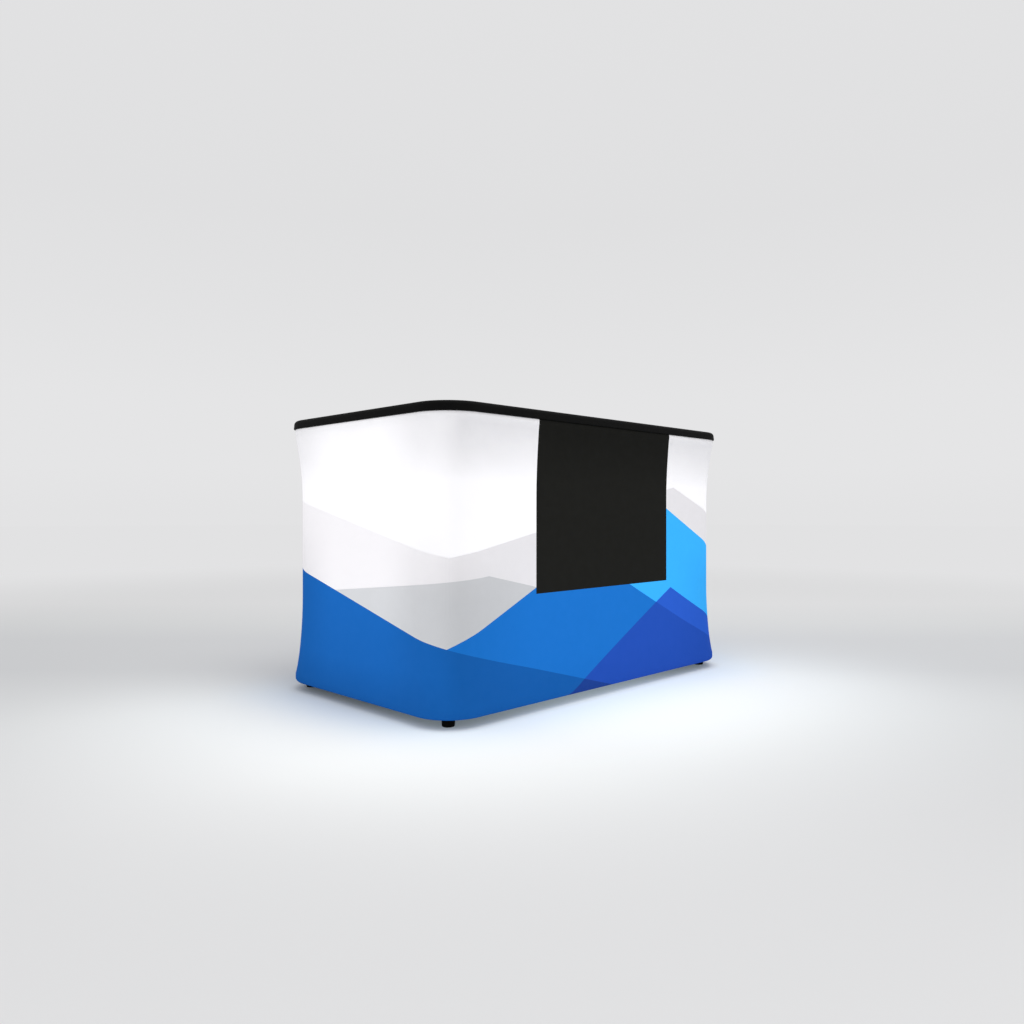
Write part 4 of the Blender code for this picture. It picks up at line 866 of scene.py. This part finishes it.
def make_fasteners():
    """Socket-head screws and chamfered nuts of the feet."""
    disc, hexagon = circle(1, 24), []
    for (x, y), turn in zip(disc, turns(24)):
        off = (turn + pi / 6) % (pi / 3) - pi / 6
        hexagon.append((x / cos(off), y / cos(off)))
    screw = [
        (hexagon, 0.0025, 0.0098), (hexagon, 0.0025, 0.0078), (disc, 0.0034, 0.0077), (disc, 0.0052, 0.0077),
        (disc, 0.0057, 0.0081), (disc, 0.0059, 0.0088), (disc, 0.0059, 0.0113), (disc, 0.0056, 0.0117),
        (disc, 0.003, 0.0117), (disc, 0.0029, 0.03),
    ]
    for height in (0.0302 + step * 0.0005 for step in range(13)):
        screw += [(disc, 0.0027, height), (disc, 0.003, height + 0.00025)]
    screw.append((disc, 0.0022, 0.0368))
    nut = (
        (disc, 0.0034, 0.0331), (disc, 0.005, 0.0331), (hexagon, 0.005, 0.0335), (hexagon, 0.005, 0.0359),
        (disc, 0.005, 0.0363), (disc, 0.0034, 0.0363), (disc, 0.0031, 0.0359), (disc, 0.0031, 0.0335),
    )
    kinds = (("socket_screw", screw, False, 35), ("chamfered_nut", nut, True, 25))
    for name in CORNER_SIDES:
        low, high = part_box(f"foot_nut_{name}")
        middle = (low + high).xy / 2
        for made, rows, closed, angle in kinds:
            sized = [([(a * radius, b * radius) for a, b in shape], height) for shape, radius, height in rows]
            node = f"foot_{made.split('_')[1]}_{name}"
            piece(f"{made}_{name}", stacked(sized, closed, off=middle), "steel", node, angle=angle)


# Air-filled core

def section_turns(seam, sides=30):
    """Angles round an inflated tube, each with its part of the weld seam that stands out at one of them."""
    side = [(seam + 0.05 + (tau - 0.1) * step / sides, 0.0) for step in range(sides + 1)]
    return [(seam - 0.016, 1.0), (seam + 0.016, 1.0), *side]


def make_air_rings():
    """The two inflated rings, with puckers inside their corners and a weld seam along the inner side."""
    pucker_depth, pucker_pitch, slack = 0.0026, 0.0205, 0.0003
    path, _ = plan_path(RING_INSET, RING_BEND, 0.03, 0.0034)
    for level, height in RING_HEIGHTS.items():
        rings = []
        for place, out, bend, gone in path:
            ring = []
            for turn, seam in section_turns(pi):
                outwards = cos(turn)
                pucker = bend * max(0.0, -outwards) ** 1.5 * (0.5 + 0.5 * cos(tau * gone / pucker_pitch))
                soft = noise.noise(Vector((place.x * 7, place.y * 7, 3 * sin(turn) + height * 9)))
                radius = RING_RADIUS - pucker_depth * pucker - slack * (1 + soft) + WELD_WIDTH * seam
                point = place + out * radius * outwards
                point.z = height + radius * sin(turn)
                ring.append(point)
            rings.append(ring)
        name = f"{level}_bladder_ring"
        mesh = finished(name, add_rings(rings, True), 60)
        if level == "lower":
            radius, *levels = VALVE_OPENING
            mesh = carved(mesh, turned([(radius, z) for z in levels], 48, off=(VALVE_X, VALVE_Y)))
            mesh.set_sharp_from_angle(angle=radians(60))
        piece(name, mesh, "bladder", f"{level}_air_ring")


def saddle_rise(x, y):
    """How far the ring tube's surface stands above its own middle at a place beside a corner."""
    centre_x, centre_y = HALF_LENGTH - RING_INSET - RING_BEND, HALF_DEPTH - RING_INSET - RING_BEND
    off = hypot(abs(x) - centre_x, abs(y) - centre_y) - RING_BEND
    return sqrt((RING_RADIUS + 0.0004) ** 2 - off * off)


def make_air_posts():
    """The four inflated posts, cut to the rings, with a welded collar at both ends."""
    lower, upper = RING_HEIGHTS.values()
    ends = (
        0, 0.0006, 0.0008, 0.009, 0.0115, 0.016, 0.022, 0.03, 0.042, 0.06, 0.09, 0.13, 0.18, 0.24, 0.3, 0.36,
        0.42, 0.48,
    )
    cap_shares = (0.02, 0.4, 0.75)
    collar_depth, collar_end, weld_end = 0.0012, 0.01, 0.012
    gather_depth, gather_reach, folds = 0.0011, 0.035, 15
    for name, (side_x, side_y) in CORNER_SIDES.items():
        def at(turn, radius, share):
            x, y = side_x * POST_X + radius * cos(turn), side_y * POST_Y + radius * sin(turn)
            bottom, top = lower + saddle_rise(x, y), upper - saddle_rise(x, y)
            return (x, y, bottom + (top - bottom) * share)

        sides = section_turns(atan2(-side_y, -side_x))
        caps = []
        for end in (0, 1):
            radii = [(POST_RADIUS - 0.001) * part for part in cap_shares]
            caps.append([[at(turn, radius, end) for turn, _ in sides] for radius in radii])
        rings = caps[0]
        for share in (*ends, *[1 - share for share in reversed(ends)]):
            near = min(share, 1 - share)
            collar = collar_depth if near < collar_end else 0.0
            gathers = gather_depth * exp(-near / gather_reach) * min(1.0, near / weld_end)
            ring = []
            for turn, seam in sides:
                spot = Vector((3 * cos(turn), 3 * sin(turn), share * 6 + side_x))
                radius = POST_RADIUS - 0.0004 + collar + 0.0003 * noise.noise(spot)
                radius -= gathers * (0.5 + 0.5 * cos(folds * turn))
                ring.append(at(turn, radius + WELD_WIDTH * seam * (near > weld_end), share))
            rings.append(ring)
        bm = add_rings(rings + caps[1][::-1])
        made = piece(f"bladder_post_{name}", bm, "bladder", f"air_post_{name}", angle=50)


def make_pad():
    """The foam strip under the lower ring, pressed down in its middle, with holes for the feet's nuts."""
    low, high, inner, outer, edge = 0.0331, 0.0381, 0.083, 0.033, 0.0012
    profile = arc((outer + edge, low + edge), edge, -2, -1, 3)
    profile += arc((inner - edge, low + edge), edge, -1, 0, 3)
    profile += arc((inner - edge, high - edge), edge, 0, 1, 3)
    for share in (step / 8 for step in range(1, 8)):
        inset = inner - edge + (outer - inner + edge * 2) * share
        profile.append((inset, high - 0.0007 * sin(pi * share) ** 2))
    profile += arc((outer + edge, high - edge), edge, 1, 2, 3)
    holes = bmesh.new()
    for side_x, side_y in CORNER_SIDES.values():
        off = (side_x * 0.7115, side_y * 0.397)
        turned([(0.008, 0.0311), (0.008, 0.0401)], 32, bm=holes, off=off)
    strip = carved(finished("foam_strip", round_plan(profile, RING_BEND + RING_INSET, True)), holes)
    piece("foam_strip", strip, "pad_foam", "lower_ring_pad")


def make_drawcord():
    """The elastic cord in the hem, laid from three twisted strands."""
    lay, off, thick, height = 0.014, 0.00095, 0.001, 0.0275
    path, length = plan_path(0.0313, 0.1122, 0.0035, 0.0035)
    bm = bmesh.new()
    for strand in range(3):
        rings = []
        for place, out, _, gone in path:
            turn = tau * (gone / length * round(length / lay) + strand / 3)
            point = place + out * cos(turn) * off
            point.z = height + sin(turn) * off
            rings.append([point + (out * cos(t) + UPWARDS * sin(t)) * thick for t in turns(6)])
        add_rings(rings, True, bm)
    piece("twisted_drawcord", bm, "elastic", "hem_drawcord", angle=70)


# Light bars and wiring

def make_light_bars():
    """Boards with their chips, pads and resistors, and the crowned opal lenses over them."""
    lens_outline = [(-0.0072, 0.0416), (0.0072, 0.0416), (0.0072, 0.0444)]
    for turn in (pi * step / 10 for step in range(11)):
        lens_outline.append((0.0072 * cos(turn), 0.0446 + 0.002 * sin(turn) ** 0.8))
    lens_outline.append((-0.0072, 0.0444))
    board_outline = [(x, 0.0372 + z) for x, z in rounded(0.006, 0.0008, 0.0002, steps=2)]
    for side, half, middle, along_y in BARS:
        stand = Matrix.Translation((*middle, 0)) @ Matrix.Rotation(FLAT_QUARTER * along_y, 4, "Z")
        board_half = half - BOARD_END_GAP
        count = int(board_half * 2 / CHIP_PITCH)
        spots = [(number - (count - 1) / 2) * CHIP_PITCH for number in range(count)]
        ends = [spot + end * 0.0023 for spot in spots for end in (-1, 1)]
        gaps = [spot + CHIP_PITCH / 2 for spot in spots[::3]]
        board = layered(
            lambda bm: bar(board_outline, board_half, 0.0002, bm),
            bars_at(spots, 0.0014, (-0.00175, 0.038), (0.00175, 0.0387), 0.0002),
            bars_at(ends, 0.0006, (-0.0012, 0.03795), (0.0012, 0.03815), 0.00005),
            bars_at(gaps, 0.001, (0.0022, 0.038), (0.0035, 0.0385), 0.0001),
        )
        looks = ("led_board", "led_chip", "copper_pad", "wire")
        piece(f"chip_board_{side}", board, looks, f"led_board_{side}", place=stand)
        lens = bar(lens_outline, half, 0.0005)
        piece(f"opal_lens_{side}", lens, "led_lens", f"led_lens_{side}", angle=50, place=stand)


def make_leads():
    """Smooth leads from bar to bar, and the one from the power supply with its strain relief."""
    reach_x, reach_y, end_x, end_y = 0.679, 0.3645, 0.5383, 0.2383
    channel, floor, over = 0.03865, 0.03535, 0.05035
    exit_x, exit_y, near, far, corner = 0.55225, 0.25225, 0.58, 0.62, 0.035
    routes = {}
    for name in ("front_left", "front_right", "rear_left"):
        a, b = CORNER_SIDES[name]
        stops = ((end_x, channel), (exit_x, channel), (near, over), (far, over), (reach_x - corner, floor))
        knots = [((a * x, b * reach_y, z), (a * 0.006, 0, 0)) for x, z in stops]
        knots.append(((a * reach_x, b * (reach_y - corner), floor), (0, -b * corner / 2, 0)))
        knots += [((a * reach_x, b * y, channel), (0, -b * 0.006, 0)) for y in (exit_y, end_y)]
        routes[f"corner_lead_{name}"] = knots
    bend_y = reach_y - corner
    routes["driver_lead"] = [
        ((SUPPLY_X, 0.1603, 0.0664), (0, corner, 0)),
        (((SUPPLY_X + reach_x) / 2, bend_y, over), (corner / 2, corner / 2, 0)),
        ((reach_x, (exit_y + bend_y) / 2, floor), (0, -0.012, 0)),
        ((reach_x, exit_y, channel), (0, -0.006, 0)),
        ((reach_x, end_y, channel), (0, -0.006, 0)),
    ]
    for node, knots in routes.items():
        points = []
        for pair in zip(knots, knots[1:]):
            (start, leaving), (end, arriving) = [[Vector(value) for value in knot] for knot in pair]
            points += interpolate_bezier(start, start + leaving, end - arriving, end, 13)[:-1]
        points.append(Vector(knots[-1][0]))
        bm = add_rings(swept_rings(points, 0.00225))
        if node == "driver_lead":
            sleeve = []
            shares = (1.0, 1.0, 0.98, 0.8084, 0.88, 0.688, 0.72, 0.5676)
            for middle, ring, share in zip(points, swept_rings(points[:8], 0.0038), shares):
                sleeve.append([middle + (point - middle) * share for point in ring])
            add_rings(sleeve, bm=bm)
        piece(f"vinyl_{node}", bm, "wire", node, angle=50)


def make_supply_lid():
    """Pressed lid on the power supply, with cooling ribs and four screws."""
    def add_plate(bm):
        plate = rounded(0.0395, 0.0875, 0.004)
        smaller = [(x * (1 - 0.0004 / 0.04), y * (1 - 0.0004 / 0.09)) for x, y in plate]
        stacked(((plate, 0.08742), (plate, 0.088), (smaller, 0.0883)), bm=bm, off=(SUPPLY_X, SUPPLY_Y))
        rib = rounded(0.062, 0.0007, 0.0006, steps=3)
        for x in (SUPPLY_X - 0.026 + number * 0.0065 for number in range(9)):
            stacked(((rib, x - 0.001), (rib, x + 0.001)), bm=bm, axis="X", off=(SUPPLY_Y, 0.0888))

    def add_screws(bm):
        head = (
            (0.0024, 0.0882), (0.0024, 0.0889), (0.002, 0.0894), (0.0012, 0.0896), (0.001, 0.0896),
            (0.001, 0.089),
        )
        for x in (-0.034, 0.034):
            for y in (-0.011, 0.151):
                turned(head, 20, bm=bm, off=(SUPPLY_X + x, y))

    piece("supply_lid", layered(add_plate, add_screws), ("supply_case", "steel"), angle=35)


def make_inlet():
    """Mains inlet: flanged housing, socket with two cut corners, three contacts and two screws."""
    def add_housing(bm):
        cavity, lip = rounded(0.0123, 0.0083, 0.0015, 0.005), rounded(0.0128, 0.0088, 0.0018, 0.005)
        flange, body = rounded(0.0175, 0.014, 0.003), rounded(0.0145, 0.011, 0.0015)
        rows = (
            (cavity, 0.017), (cavity, 0.0006), (lip, 0), (rounded(0.017, 0.0135, 0.003), 0), (flange, 0.0005),
            (flange, 0.002), (body, 0.002), (body, 0.0258), (rounded(0.014, 0.0105, 0.0015), 0.0263),
        )
        stacked(rows, bm=bm, axis="Y")

    def add_contacts(bm):
        for place in ((-0.007, -0.002), (0, 0.002), (0.007, -0.002)):
            rows = []
            for share, depth in ((0.55, 0.006), (0.9, 0.0066), (1.0, 0.0075), (1.0, 0.0172)):
                rows.append((rounded(0.001 * share, 0.002 * share, 0.0003 * share, steps=2), depth))
            stacked(rows, bm=bm, axis="Y", off=place)

    def add_screws(bm):
        head = ((0.0015, 0.0004), (0.0015, -0.0002), (0.0011, -0.0004), (0.0006, -0.0004), (0.0005, 0.0001))
        for x in (-0.0152, 0.0152):
            turned(head, 16, bm=bm, axis="Y", off=(x, 0))

    bm = layered(add_housing, add_contacts, add_screws)
    looks, place = ("inlet_plastic", "brass", "steel"), Matrix.Translation(INLET_PLACE)
    piece("flanged_inlet", bm, looks, "power_inlet", angle=35, place=place)


def make_rocker():
    """Dished rocker with raised on and off marks."""
    half, front, back, dish = 0.0093, -0.0045, 0.005, 0.001
    bar_levels = (0.004, 0.005, 0.006, 0.0068)
    ring_height = -0.0052
    ring_section = ((0.0012, 0.0001), (0.0017, 0.0001), (0.0017, -0.0003), (0.0012, -0.0003))

    def face(z):
        return front + dish * (1 - (z / half) ** 2)

    def add_rocker(bm):
        outline = [(face(z), z) for z in (half * (1 - step / 8) for step in range(17))]
        outline += [(back, -half + 0.0006), (back, half - 0.0006)]
        bar(outline, 0.0065, 0.0005, bm)
        for side in (-1, 1):
            stub = ((0.0015, side * 0.0062), (0.0015, side * 0.0076), (0.0012, side * 0.0077))
            turned(stub, 16, bm=bm, axis="X")

    def add_marks(bm):
        outline = [(face(z) - 0.0001, z) for z in bar_levels]
        outline += [(face(z) + 0.0003, z) for z in bar_levels[::-1]]
        stacked(((outline, -0.00025), (outline, 0.00025)), bm=bm, axis="X")
        rings = []
        for cosine, sine in circle(1, 24):
            ring = []
            for radius, proud in ring_section:
                z = ring_height + radius * sine
                ring.append((radius * cosine, face(z) - proud, z))
            rings.append(ring)
        add_rings(rings, True, bm)

    place = Matrix.Translation(ROCKER_PIVOT) @ Matrix.Rotation(ROCKER_TILT, 4, "X")
    bm, looks = layered(add_rocker, add_marks), ("rocker_plastic", "mark_paint")
    piece("dished_rocker", bm, looks, "rocker_switch", body="rocker_switch", angle=35, place=place)


def make_valve():
    """Inflation valve: welded patch and threaded body, knurled cap with a finger grip, and the push pin."""
    body = [(0.012, 0.1235), (0.0215, 0.1235), (0.0215, 0.1292), (0.0208, 0.1299), (0.0182, 0.1302)]
    body.append((0.0177, 0.1308))
    for height in (0.1316 + step * 0.0018 for step in range(4)):
        for radius, rise in ((0.0177, 0), (0.0185, 0.0005), (0.0185, 0.0009), (0.0177, 0.0014)):
            body.append((radius, height + rise))
    body += [
        (0.019, 0.1392), (0.019, 0.143), (0.0185, 0.1435), (0.0126, 0.1435), (0.012, 0.143), (0.012, 0.1305),
        (0.0035, 0.1305), (0.0035, 0.1275), (0.012, 0.1275),
    ]
    patch = (
        (0.0205, 0.0012), (0.0255, 0.0013), (0.03, 0.001), (0.0314, 0.0002), (0.0314, -0.0004),
        (0.0205, -0.0004),
    )

    def add_patch(bm):
        rings = []
        for radius, lift in patch:
            ring = []
            for x, y in circle(radius, 64):
                ring.append((x, y, RING_HEIGHTS["lower"] + sqrt(RING_RADIUS**2 - y * y) + lift))
            rings.append(ring)
        add_rings(rings, True, bm)

    bm = layered(lambda bm: turned(body, 64, True, bm), add_patch)
    looks = ("valve_plastic", "bladder")
    seat = Matrix.Translation((VALVE_X, VALVE_Y, 0))
    piece("threaded_valve", bm, looks, "valve_body", angle=35, place=seat)

    knurl_radius, knurl_depth = 0.0196, 0.00035
    rows = []
    for radius, height in (
        (0.0112, -0.002), (0.0117, -0.0016), (0.0117, 0.0001), (0.019, 0.0001), (knurl_radius, 0.0005),
        (knurl_radius, 0.0033), (0.019, 0.0039), (0.018, 0.004), (0.017, 0.0038), (0.016, 0.0032),
        (0.008, 0.003), (0.001, 0.003),
    ):
        depth = knurl_depth if radius == knurl_radius else 0.0
        outs = [(radius + depth * cos(36 * turn), turn) for turn in turns(144)]
        rows.append(([(out * cos(turn), out * sin(turn)) for out, turn in outs], height))
    bm = stacked(rows)
    rows = []
    for along in (-0.019, -0.0186, -0.0172, -0.012, 0, 0.012, 0.0172, 0.0186, 0.019):
        waist = 0.72 + 0.28 * (along / 0.019) ** 2
        low, high = 0.0026, 0.0034 + 0.0056 * sqrt(max(0.0, 1 - (abs(along) / 0.0192) ** 8))
        flank = [(0.0025 * waist, low), (0.0023 * waist, high - 0.0008), (0.0015 * waist, high)]
        rows.append((flank + [(-y, z) for y, z in reversed(flank)], along))
    stacked(rows, bm=bm, axis="X")
    place = Matrix.Translation((VALVE_X, VALVE_Y, CAP_SEAT))
    piece("knurled_cap", bm, "valve_plastic", "valve_cap", body="valve_cap", angle=35, place=place)

    pin = [(0.001, 0.12525), (0.008, 0.12525), (0.0088, 0.1256), (0.0088, 0.1268), (0.0084, 0.1272)]
    pin += [(0.0034, 0.1272), (0.003, 0.1276), (0.003, 0.135), (0.0034, 0.1355), (0.0056, 0.1355)]
    pin.append((0.006, 0.1359))
    pin += arc((0.005, 0.1365), 0.001, 0, 1, 4) + [(0.001, 0.1375)]
    bm = turned(pin, 32, off=(VALVE_X, VALVE_Y))
    piece("push_pin", bm, "valve_plastic", "valve_pin", body="valve_pin", angle=35)


# Zip

def make_chain():
    """The zip's interlocked teeth and its end stops."""
    pitch, end_gap, edge = 0.0022, 0.004, 0.00345
    tooth = (
        (0.0005, 0.0008, edge), (0.00055, 0.00105, 0.0028), (0.00048, 0.001, 0.0012),
        (0.00078, 0.0011, 0.0003), (0.00074, 0.001, -0.0004), (0.0004, 0.0006, -0.0007),
    )
    stop = [(y + CHAIN_MIDDLE, z + ZIP_HEIGHT) for y, z in rounded(0.00122, 0.0039, 0.0006, steps=3)]

    def add_teeth(bm):
        for side in (-1, 1):
            for number in range(int((ZIP_HALF - end_gap) * 2 / pitch)):
                off = (-ZIP_HALF + end_gap + (number + 0.25 + side * 0.25) * pitch, CHAIN_MIDDLE)
                rows = []
                for wide, thick, out in tooth:
                    rows.append(([(wide * x, thick * y) for x, y in circle(1, 6)], ZIP_HEIGHT + side * out))
                stacked(rows, bm=bm, off=off)
            middle_y, middle_z = CHAIN_MIDDLE - 0.0003, ZIP_HEIGHT + side * edge
            cord = [(middle_y + 0.00045 * y, middle_z + 0.0005 * z) for y, z in circle(1, 8)]
            bar(cord, ZIP_HALF - 0.0002, 0.0004, bm)

    def add_stops(bm):
        for end in (-1, 1):
            bar(stop, 0.0014, 0.0004, bm, middle=end * (ZIP_HALF - 0.0016))

    looks = ("zip_plastic", "zip_metal")
    piece("toothed_chain", layered(add_teeth, add_stops), looks, "zip_chain", angle=50)


def make_tapes():
    """The zip's two tapes and the stitches that hold them."""
    pitch, proud = 0.0034, 0.00075
    steps = [(0, 0.00045), *[(share, 0.0007) for share in (0.06, 0.25, 0.5, 0.75, 0.94)], (1, 0.00035)]
    bm, threads = bmesh.new(), bmesh.new()
    for side in (-1, 1):
        section = []
        for share, lift in steps:
            section.append((ZIP_HEIGHT + side * (TAPE_INNER + (TAPE_OUTER - TAPE_INNER) * share), lift))
        section += [(z, 0.0001) for z, _ in reversed(section)]
        places = [-TAPE_REACH + TAPE_REACH * 2 * step / 40 for step in range(41)]
        add_rings([[rear_face(x, z, lift) for z, lift in section] for x in places], bm=bm)
        middles = [-TAPE_REACH + (number + 0.5) * pitch for number in range(int(TAPE_REACH * 2 / pitch))]
        for off in (0.0062, 0.0135):
            rear_stitches(threads, [(x, ZIP_HEIGHT + side * off) for x in middles], RIGHTWARDS, proud)
    piece("zip_tapes", bm, "zip_tape", slot="zip_plastic", angle=35)
    offs = [-0.0128 + number * 0.00365 for number in range(8)]
    for end in (-1, 1):
        places = [(end * (TAPE_REACH - 0.004), ZIP_HEIGHT + off) for off in offs if abs(off) > 0.0036]
        rear_stitches(threads, places, UPWARDS, proud)
    piece("zip_stitches", threads, "thread", slot="zip_plastic", angle=60)


def make_slider():
    """The zip's slider with its arch, and its pull tab."""
    back, front = CHAIN_FRONT + 0.0003, CHAIN_FRONT + 0.0017
    lip, inner, outer = CHAIN_FRONT - 0.0014, 0.0043, 0.0055
    half_outline = [
        (back, inner), (lip, inner), (lip, outer - 0.0003), (lip + 0.0002, outer), (front - 0.0004, outer),
        (front, outer - 0.0006),
    ]
    outline = [(y, -z) for y, z in half_outline] + half_outline[::-1]
    ends = ((-0.005, 0.93), (-0.0045, 0.985), (-0.003, 1.0))
    rows = []
    for along, narrow in (*ends, *[(-along, narrow) for along, narrow in reversed(ends)]):
        ring = []
        for y, z in outline:
            squeeze = narrow if abs(z) > inner + 0.0001 else 1.0
            sunk = 0 if y < front - 0.0001 else (1 - narrow) * 0.004
            ring.append((y - sunk, ZIP_HEIGHT + z * squeeze))
        rows.append((ring, SLIDER_X + along))
    bm = stacked(rows, axis="X")
    arch = []
    for turn in (pi * step / 16 for step in range(17)):
        y, z = front - 0.0006 + 0.0039 * sin(turn) ** 0.55, 0.0044 * cos(turn)
        arch.append(Vector((SLIDER_X, y, ZIP_HEIGHT + z)))
    strap = rounded(0.0015, 0.0006, 0.0003, steps=2)
    rings = []
    for here, point in enumerate(arch):
        along = (arch[min(here + 1, 16)] - arch[max(here - 1, 0)]).normalized()
        normal = along.cross(RIGHTWARDS)
        rings.append([point + RIGHTWARDS * a + normal * b for a, b in strap])
    add_rings(rings, bm=bm)
    piece("zip_runner", bm, "zip_metal", "zip_slider", body="zip_slider", angle=35)

    def squared(wide, tall, power_x, power_z):
        """A rounded loop, squarer the smaller its powers. Each half height has its own half width."""
        loop = []
        for x, z in circle(1, 48):
            across = wide[z >= 0] * copysign(abs(x) ** power_x, x)
            loop.append((across, tall * copysign(abs(z) ** power_z, z)))
        return loop

    rings = []
    tab = squared((0.0038, 0.0034), 0.0158, 0.55, 0.45)
    for grow, y in ((0.0, -0.0006), (0.0003, -0.0003), (0.0003, 0.0003), (0.0, 0.0006)):
        shape = [(x * (1 + grow / 0.0038), z * (1 + grow / 0.016)) for x, z in tab]
        rings.append(ring_at(y, shape, "Y", (0, -0.0152)))
    hole = squared((0.0018, 0.0018), 0.0031, 0.7, 0.7)
    rings += [ring_at(y, hole, "Y", (0, -0.0039)) for y in (0.0006, 0.0002, -0.0002, -0.0006)]
    bm = add_rings(rings, True)
    for number in range(5):
        rib = [(y, z - 0.0165 - number * 0.0022) for y, z in rounded(0.0008, 0.0005, 0.0004, steps=2)]
        bar(rib, 0.0027, 0.0003, bm)
    place = Matrix.Translation((SLIDER_X, front + 0.0013, ZIP_HEIGHT))
    piece("zip_tab", bm, "zip_metal", "zip_pull", body="zip_pull", angle=35, place=place)


def dress_frame():
    """Looks for the CAD nodes that stay."""
    for name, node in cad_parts.items():
        for held in node.material_slots:
            look = held.material.name.split(".")[0]
            if look == "bar_aluminium":
                look += "_y" if name.endswith(("left", "right")) else "_x"
            if look in LOOKS:
                held.material = LOOKS[look]


# Stage

def make_world():
    """Even light, with a backdrop of its own for the camera and for reflections."""
    world = bpy.data.worlds.new("studio")
    bpy.context.scene.world = world
    world.use_nodes = True
    sky = Nodes(world.node_tree)
    light = sky.tree.nodes["Background"]
    light.inputs["Color"].default_value = (1.0, 1.0, 1.0, 1)
    light.inputs["Strength"].default_value = WORLD_LIGHT
    direction = sky.add("SeparateXYZ", i0=sky.add("TexCoord").outputs["Generated"])
    stops = [(slope, *srgb(level, level, level + 1), 1) for slope, level in BACKDROP_LEVELS]
    seen = sky.add("Background", Color=sky.ramp(direction.outputs["Z"], stops)["Color"])
    path = sky.add("LightPath").outputs
    either = sky.math("MAXIMUM", path["Is Camera Ray"], path["Is Glossy Ray"])
    every = sky.math("MAXIMUM", either, path["Is Transmission Ray"])
    mixed = sky.add("MixShader", i0=every, i1=light.outputs[0], i2=seen.outputs[0])
    sky.feed(sky.tree.nodes["World Output"], "Surface", mixed.outputs[0])


def make_floor():
    """The floor, with a painted pool of light from the counter and painted shadow under its edge, fading into
    the background far away.
    """
    bm = bmesh.new()
    bmesh.ops.create_circle(bm, cap_ends=True, radius=FLOOR_RADIUS, segments=96)
    mesh = bpy.data.meshes.new("studio_floor")
    bm.to_mesh(mesh)
    bm.free()
    look = Surface("studio_floor", srgb(*BACKGROUND), 0.9, specular=0.03)
    parts = look.add("SeparateXYZ", Vector=look.place).outputs
    # The floor's levels, darker round and behind the counter as painted shade
    rearwards = look.product(look.math("ADD", parts["X"], parts["Y"]), sqrt(0.5))
    low, high = FLOOR_LEVELS[0][0], FLOOR_LEVELS[-1][0]
    stops = [((place - low) / (high - low), *srgb(*levels), 1) for place, levels in FLOOR_LEVELS]
    look.link(look.ramp(look.ranged(rearwards, low, high, 0, 1), stops)["Color"], "Base Color")

    def length(vector):
        return look.add("VectorMath", {"operation": "LENGTH"}, i0=vector).outputs["Value"]

    beside = []
    for axis, core in zip("XY", POOL_CORE):
        past = look.math("SUBTRACT", look.math("ABSOLUTE", parts[axis]), core)
        beside.append(look.math("MAXIMUM", past, 0.0))
    out = length(look.add("CombineXYZ", X=beside[0], Y=beside[1]).outputs[0])
    out = look.math("SUBTRACT", out, POOL_CORNER)
    near = look.math("POWER", look.ranged(out, 0, POOL_REACH, 1, 0), 2)
    lobes = []
    for (strength, middle, spread, low, high, under), along, off in (
        (POOL_FRONT, parts["X"], parts["Y"]), (POOL_LEFT, parts["Y"], parts["X"])
    ):
        share = look.math("DIVIDE", look.math("SUBTRACT", along, middle), spread)
        bell = look.math("EXPONENT", look.product(share, share, -1))
        fading = look.ranged(off, high, low, strength, 0, True)
        # Painted shadow: the pool dims under the counter's edge
        beyond = look.ranged(out, *PAINTED_SHADOW_EDGE, look.product(bell, under), 1, True)
        lobes.append(look.product(bell, fading, beyond))
    painted_pool = look.product(near, look.math("ADD", *lobes))
    look.link(look.mix(look.ranged(out, *POOL_TINT_REACH, 0, 1, True), *POOL_COLOURS), "Emission Color")
    look.link(look.math("ADD", painted_pool, FLOOR_GLOW), "Emission Strength")
    look.bump(look.noise(30, 4, 0.6), 0.05, 0.001)
    far = look.add("Emission", Color=(*srgb(*BACKGROUND), 1), Strength=1.0).outputs[0]
    share = look.ranged(length(look.place), *FLOOR_FADE, 0, 1, True)
    fade = look.add("MixShader", i0=share, i1=look.shader.outputs[0], i2=far)
    look.feed(look.tree.nodes["Material Output"], "Surface", fade.outputs[0])
    mesh.materials.append(look.made)
    shown("studio_floor", mesh)


def make_lamp():
    lamp = bpy.data.lights.new("soft_overhead", "AREA")
    lamp.shape = "DISK"
    lamp.size = LAMP_SIZE
    lamp.energy = LAMP_POWER
    rig = shown("soft_overhead", lamp)
    rig.location = LAMP_PLACE
    rig.rotation_euler = (LAMP_TARGET - LAMP_PLACE).to_track_quat("-Z", "Y").to_euler()


def make_camera():
    lens = bpy.data.cameras.new("photo_camera")
    lens.lens = CAMERA_LENS
    lens.sensor_width = CAMERA_SENSOR
    lens.clip_end = 200
    camera = shown("photo_camera", lens)
    camera.location = CAMERA_PLACE
    camera.rotation_euler = CAMERA_TURN
    bpy.context.scene.camera = camera


make_camera()
make_world()
make_floor()
make_lamp()
skin = make_skin()
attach(skin, "counter_body")
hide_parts("printed_skin")
make_countertop()
make_feet()
make_air_rings()
make_air_posts()
make_pad()
make_drawcord()
make_fasteners()
make_light_bars()
make_leads()
make_supply_lid()
make_inlet()
make_rocker()
make_valve()
make_chain()
make_tapes()
make_slider()
make_seams()
dress_frame()

bpy.context.scene.view_settings.view_transform = "Standard"
